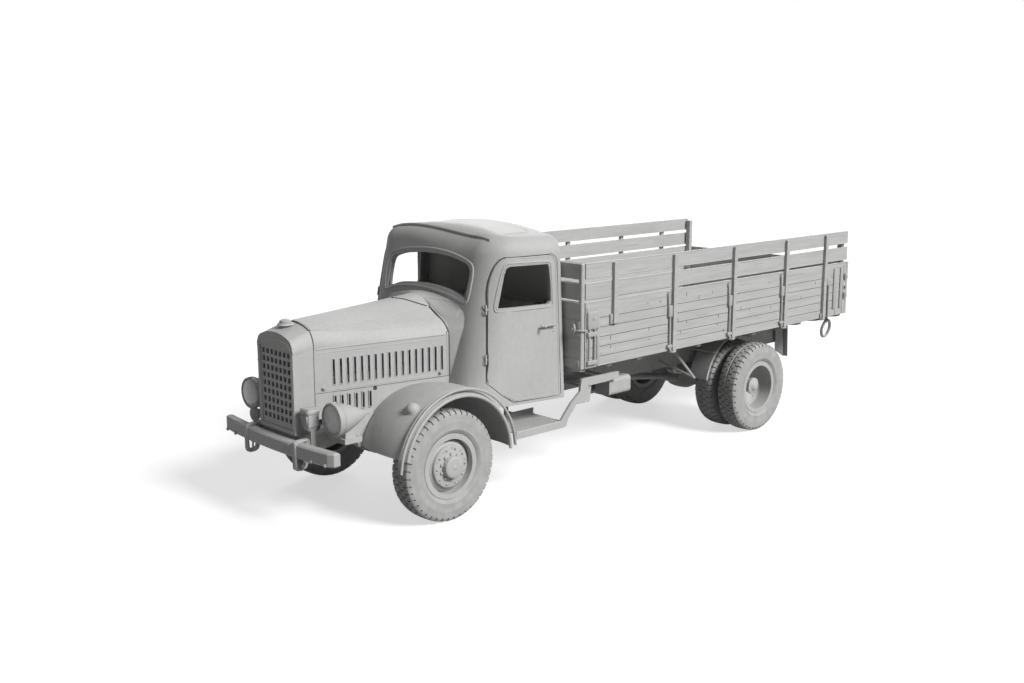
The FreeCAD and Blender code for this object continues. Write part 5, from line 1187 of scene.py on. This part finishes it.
# Near-black primer: painted shade in the board splits and plank joints.
split_and_groove_shade = grey_primer("split_shadow", (0.11, 0.11, 0.108))
split = slab((-0.0025, -0.0045, -0.019), (0.0012, 0.0045, 0.019), 0.0008, 1)
places = []
for number, (y, z) in enumerate(SPLITS):
    tall = 0.45 + 0.75 * ((number * 7) % 5) / 4.0
    places.append(Matrix.Translation((SIDE_FACE, y, z)) @ Matrix.Diagonal((1.0, 1.0, tall, 1.0)))
joint = slab((-0.004, -0.995, -0.0032), (0.0008, 3.672, 0.0032), 0.0008, 1)
joints = [Matrix.Translation((SIDE_FACE, 0.0, z)) for z in (1.312, 1.408, 1.503, 1.599, 1.694)]
left_splits = gathered([repeated(split, places), repeated(joint, joints)])
both_sides(left_splits, "board_joints", split_and_groove_shade, "dropside")


# Under the bed
# Iron brackets behind the rear wheels, slanting braces ahead of them, and a pair of lashing rings
# hung from the last bearer.


def cut_plate(outline, inner, outer):
    """A flat plate cut to an outline seen from the side, as (y, z), and drawn out across."""
    select_nothing()
    bpy.ops.mesh.primitive_circle_add(vertices=len(outline), radius=1.0, fill_type="NGON")
    piece = bpy.context.object
    for vertex, (y, z) in zip(piece.data.vertices, outline):
        vertex.co = (inner, y, z)
    into_edit()
    bpy.ops.mesh.extrude_region_move(TRANSFORM_OT_translate={"value": (outer - inner, 0.0, 0.0)})
    faced_outwards()
    into_edit()
    bpy.ops.mesh.bevel(offset=0.003, segments=2, affect="EDGES")
    out_of_edit()
    return piece


brackets = [cut_plate(((3.3785, 0.962), (3.5595, 0.962), (3.57, 0.76), (3.5875, 0.568), (3.3995, 0.674)),
                      0.452, 0.466),
            cut_plate(((3.56, 0.98), (3.574, 0.98), (3.6, 0.575), (3.586, 0.575)), 0.445, 0.52),
            cut_plate(((3.3, 1.125), (3.64, 1.125), (3.64, 1.105), (3.56, 0.98), (3.38, 0.98),
                       (3.3, 1.105)), 0.452, 0.464),
            rolled_rod([(0.9, 0.76, 1.12), (0.93, 0.87, 0.985), (0.95, 0.98, 0.865), (0.96, 1.08, 0.755)], 0.016),
            rolled_rod([(0.96, 1.08, 0.755), (0.75, 1.1, 0.8), (0.45, 1.1, 0.86)], 0.014)]
for y in (0.2, 0.88, 2.4, 3.05):
    brackets.append(cut_plate(((y - 0.035, 0.972), (y + 0.035, 0.972), (y + 0.035, 1.135), (y - 0.035, 1.135)),
                              0.437, 0.447))
settled(paired(gathered(brackets)), "bed_brackets", frame_paint)

RING_X, RING_Y, RING_Z = 1.05, 3.598, 1.01
ring = []
for k in range(12):
    angle = 2 * math.pi * k / 12
    reach = 0.102 if k % 2 else 0.112
    ring.append((RING_X + 0.018 * math.sin(angle), RING_Y + reach * 0.86 * math.cos(angle),
                 RING_Z + reach * math.sin(angle)))
rings = [rolled_rod(ring, 0.0185, closed=True, order=4, around=3),
         upright_rod(RING_X, ((3.575, 1.155), (3.578, 1.095), (RING_Y, 1.082), (3.618, 1.095), (3.621, 1.155)), 0.013,
                     order=4, around=3)]
in_fitting_paint(paired(gathered(rings)), "lashing_rings")


# Tyres
# Rubber tyres with deep shoulder lugs, a notched centre rib and two moulded rings on each wall.
# One is drawn out ring by ring round its axle, its tread grooves are cut, and the others are copies.

LUGS, STEPS = 44, 4
SHOULDER_REACH, SHOULDER_FROM = 0.462, 0.046
NOTCH_REACH, RIB_HALF, NOTCH_END = 0.51, 0.013, 0.052
TYRE_RINGS = ((-0.098, 0.272), (-0.099, 0.303), (-0.111, 0.313), (-0.12, 0.336), (-0.1225, 0.34), (-0.1225, 0.346),
              (-0.1215, 0.35), (-0.1242, 0.385), (-0.1247, 0.405), (-0.125, 0.412), (-0.125, 0.418),
              (-0.1235, 0.424), (-0.1215, 0.45), (-0.118, 0.474), (-0.112, 0.492), (-0.101, 0.5045),
              (-0.08, 0.5105), (-0.05, 0.5138), (-0.014, 0.5148), (-0.0115, 0.505), (0.0115, 0.505),
              (0.014, 0.5148))
TREAD_DEPTH = 0.013
AXLE_HEIGHT, REAR_AXLE, FRONT_TRACK = 0.515, 2.0895, 0.927
LEFT_AND_RIGHT = ((1.0, "left"), (-1.0, "right"))

rubber = Finish("tyre_rubber")
pores = rubber.grain(0.0028, detail=1.0)
scuffs = rubber.between(rubber.grain(0.09), 0.38, 0.68)
rubber_tone = rubber.tone((0.325, 0.325, 0.32), (0.415, 0.415, 0.41), scuffs * 0.7 + pores * 0.3)
tyre_rubber = rubber.lay(rubber_tone, 0.78 + pores * 0.14, pores * 0.6 + scuffs * 0.4, 0.0008)

right_half = tuple((-a, r) for a, r in reversed(TYRE_RINGS[:18]))
tyre = turned(TYRE_RINGS + right_half, LUGS * STEPS, "NOTHING")
into_edit("DESELECT", "EDGE")
bpy.ops.mesh.select_non_manifold()
bpy.ops.mesh.bridge_edge_loops()
faced_outwards()


def in_groove(face):
    """Whether a face of the tread lies between two shoulder lugs or in a notch beside the centre rib."""
    middle = face.center
    reach = math.hypot(middle.x, middle.y)
    step = int(math.floor(math.atan2(middle.y, middle.x) / (2 * math.pi) * LUGS * STEPS)) % STEPS
    across = abs(middle.z)
    shoulder = reach > SHOULDER_REACH and across > SHOULDER_FROM and step == (0 if middle.z > 0 else 2)
    notch = reach > NOTCH_REACH and RIB_HALF < across < NOTCH_END and step == (2 if middle.z > 0 else 0)
    return shoulder or notch


choose(tyre, "FACE", in_groove)
bpy.ops.mesh.extrude_region_shrink_fatten(TRANSFORM_OT_shrink_fatten={"value": -TREAD_DEPTH})
out_of_edit()

TYRE_SPOTS = (("front", FRONT_TRACK, FRONT_AXLE, "front_wheel", "front_tyre", 1),
              ("rear_inner", 0.696, REAR_AXLE, "rear_wheels", "rear_tyres", 2),
              ("rear_outer", 1.022, REAR_AXLE, "rear_wheels", "rear_tyres", 3))
for label, across, along, body, node, turn in TYRE_SPOTS:
    for side, word in LEFT_AND_RIGHT:
        spin = Matrix.Rotation(math.radians(1.1 * turn), 4, "Z")
        wheel = copied(tyre, pointed((side, 0.0, 0.0), (side * across, along, AXLE_HEIGHT)) @ spin)
        piece = settled(wheel, f"tyre_{label}_{word}", tyre_rubber, f"{body}_{word}")
        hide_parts(f"{node}_{word}")
used_up(tyre)


# Wheels
# Pressed steel discs riveted in rolled rims. The front ones have a raised face with a ring of nuts
# round a deep cap, the twin rear ones are dished and bolted through.

wheel_paint = grey_primer("wheel_primer", (0.425, 0.425, 0.42))
coat(wheel_paint, "front_rim_left", "front_rim_right", "rear_rims_left", "rear_rims_right")

face_disc = turned(((0.0725, 0.201), (0.08, 0.199), (0.096, 0.1945), (0.1, 0.191),
                    (0.1015, 0.185), (0.1015, 0.108), (0.103, 0.104), (0.142, 0.1015), (0.152, 0.098),
                    (0.158, 0.09), (0.16, 0.078), (0.16, 0.03)), 64)
nut = turned(((0.0, 0.014), (0.002, 0.014), (0.003, 0.011), (0.009, 0.0105), (0.0105, 0.0085), (0.0105, 0.0055),
              (0.015, 0.005), (0.016, 0.0035)), 6)
hole = turned(((-0.001, 0.0125), (0.0035, 0.0115), (0.004, 0.0095), (0.004, 0.008), (0.0005, 0.0075)), 14)
DISC_FACE = 0.1015
pieces = [face_disc]
for number in range(10):
    for small, reach, turn in ((nut, 0.165, 0), (hole, 0.172, 13)):
        angle = 2 * math.pi * number / 10 + math.radians(turn)
        place = Matrix.Translation((reach * math.cos(angle), reach * math.sin(angle), DISC_FACE))
        pieces.append(copied(small, place))
face_disc = gathered(pieces)
used_up(nut, hole)
for side, word in LEFT_AND_RIGHT:
    wheel = copied(face_disc, pointed((side, 0.0, 0.0), (side * FRONT_TRACK, FRONT_AXLE, AXLE_HEIGHT)))
    settled(wheel, f"wheel_face_{word}", wheel_paint, f"front_wheel_{word}")
used_up(face_disc)

stud = turned(((0.0, 0.01), (0.003, 0.01), (0.006, 0.008), (0.0075, 0.004)), 8)
RIVET_RING = 0.232
for side, word in LEFT_AND_RIGHT:
    turns = [2 * math.pi * (number + 0.5) / 12 for number in range(12)]
    starts = [(side * BESIDE, REAR_AXLE + RIVET_RING * math.cos(turn), AXLE_HEIGHT + RIVET_RING * math.sin(turn))
              for turn in turns]
    places = places_on([f"rear_rims_{word}"], starts, (-side, 0.0, 0.0), -0.0005)
    settled(gathered([copied(stud, place) for place in places]), f"rear_disc_rivets_{word}", wheel_paint,
            f"rear_wheels_{word}")
used_up(stud)
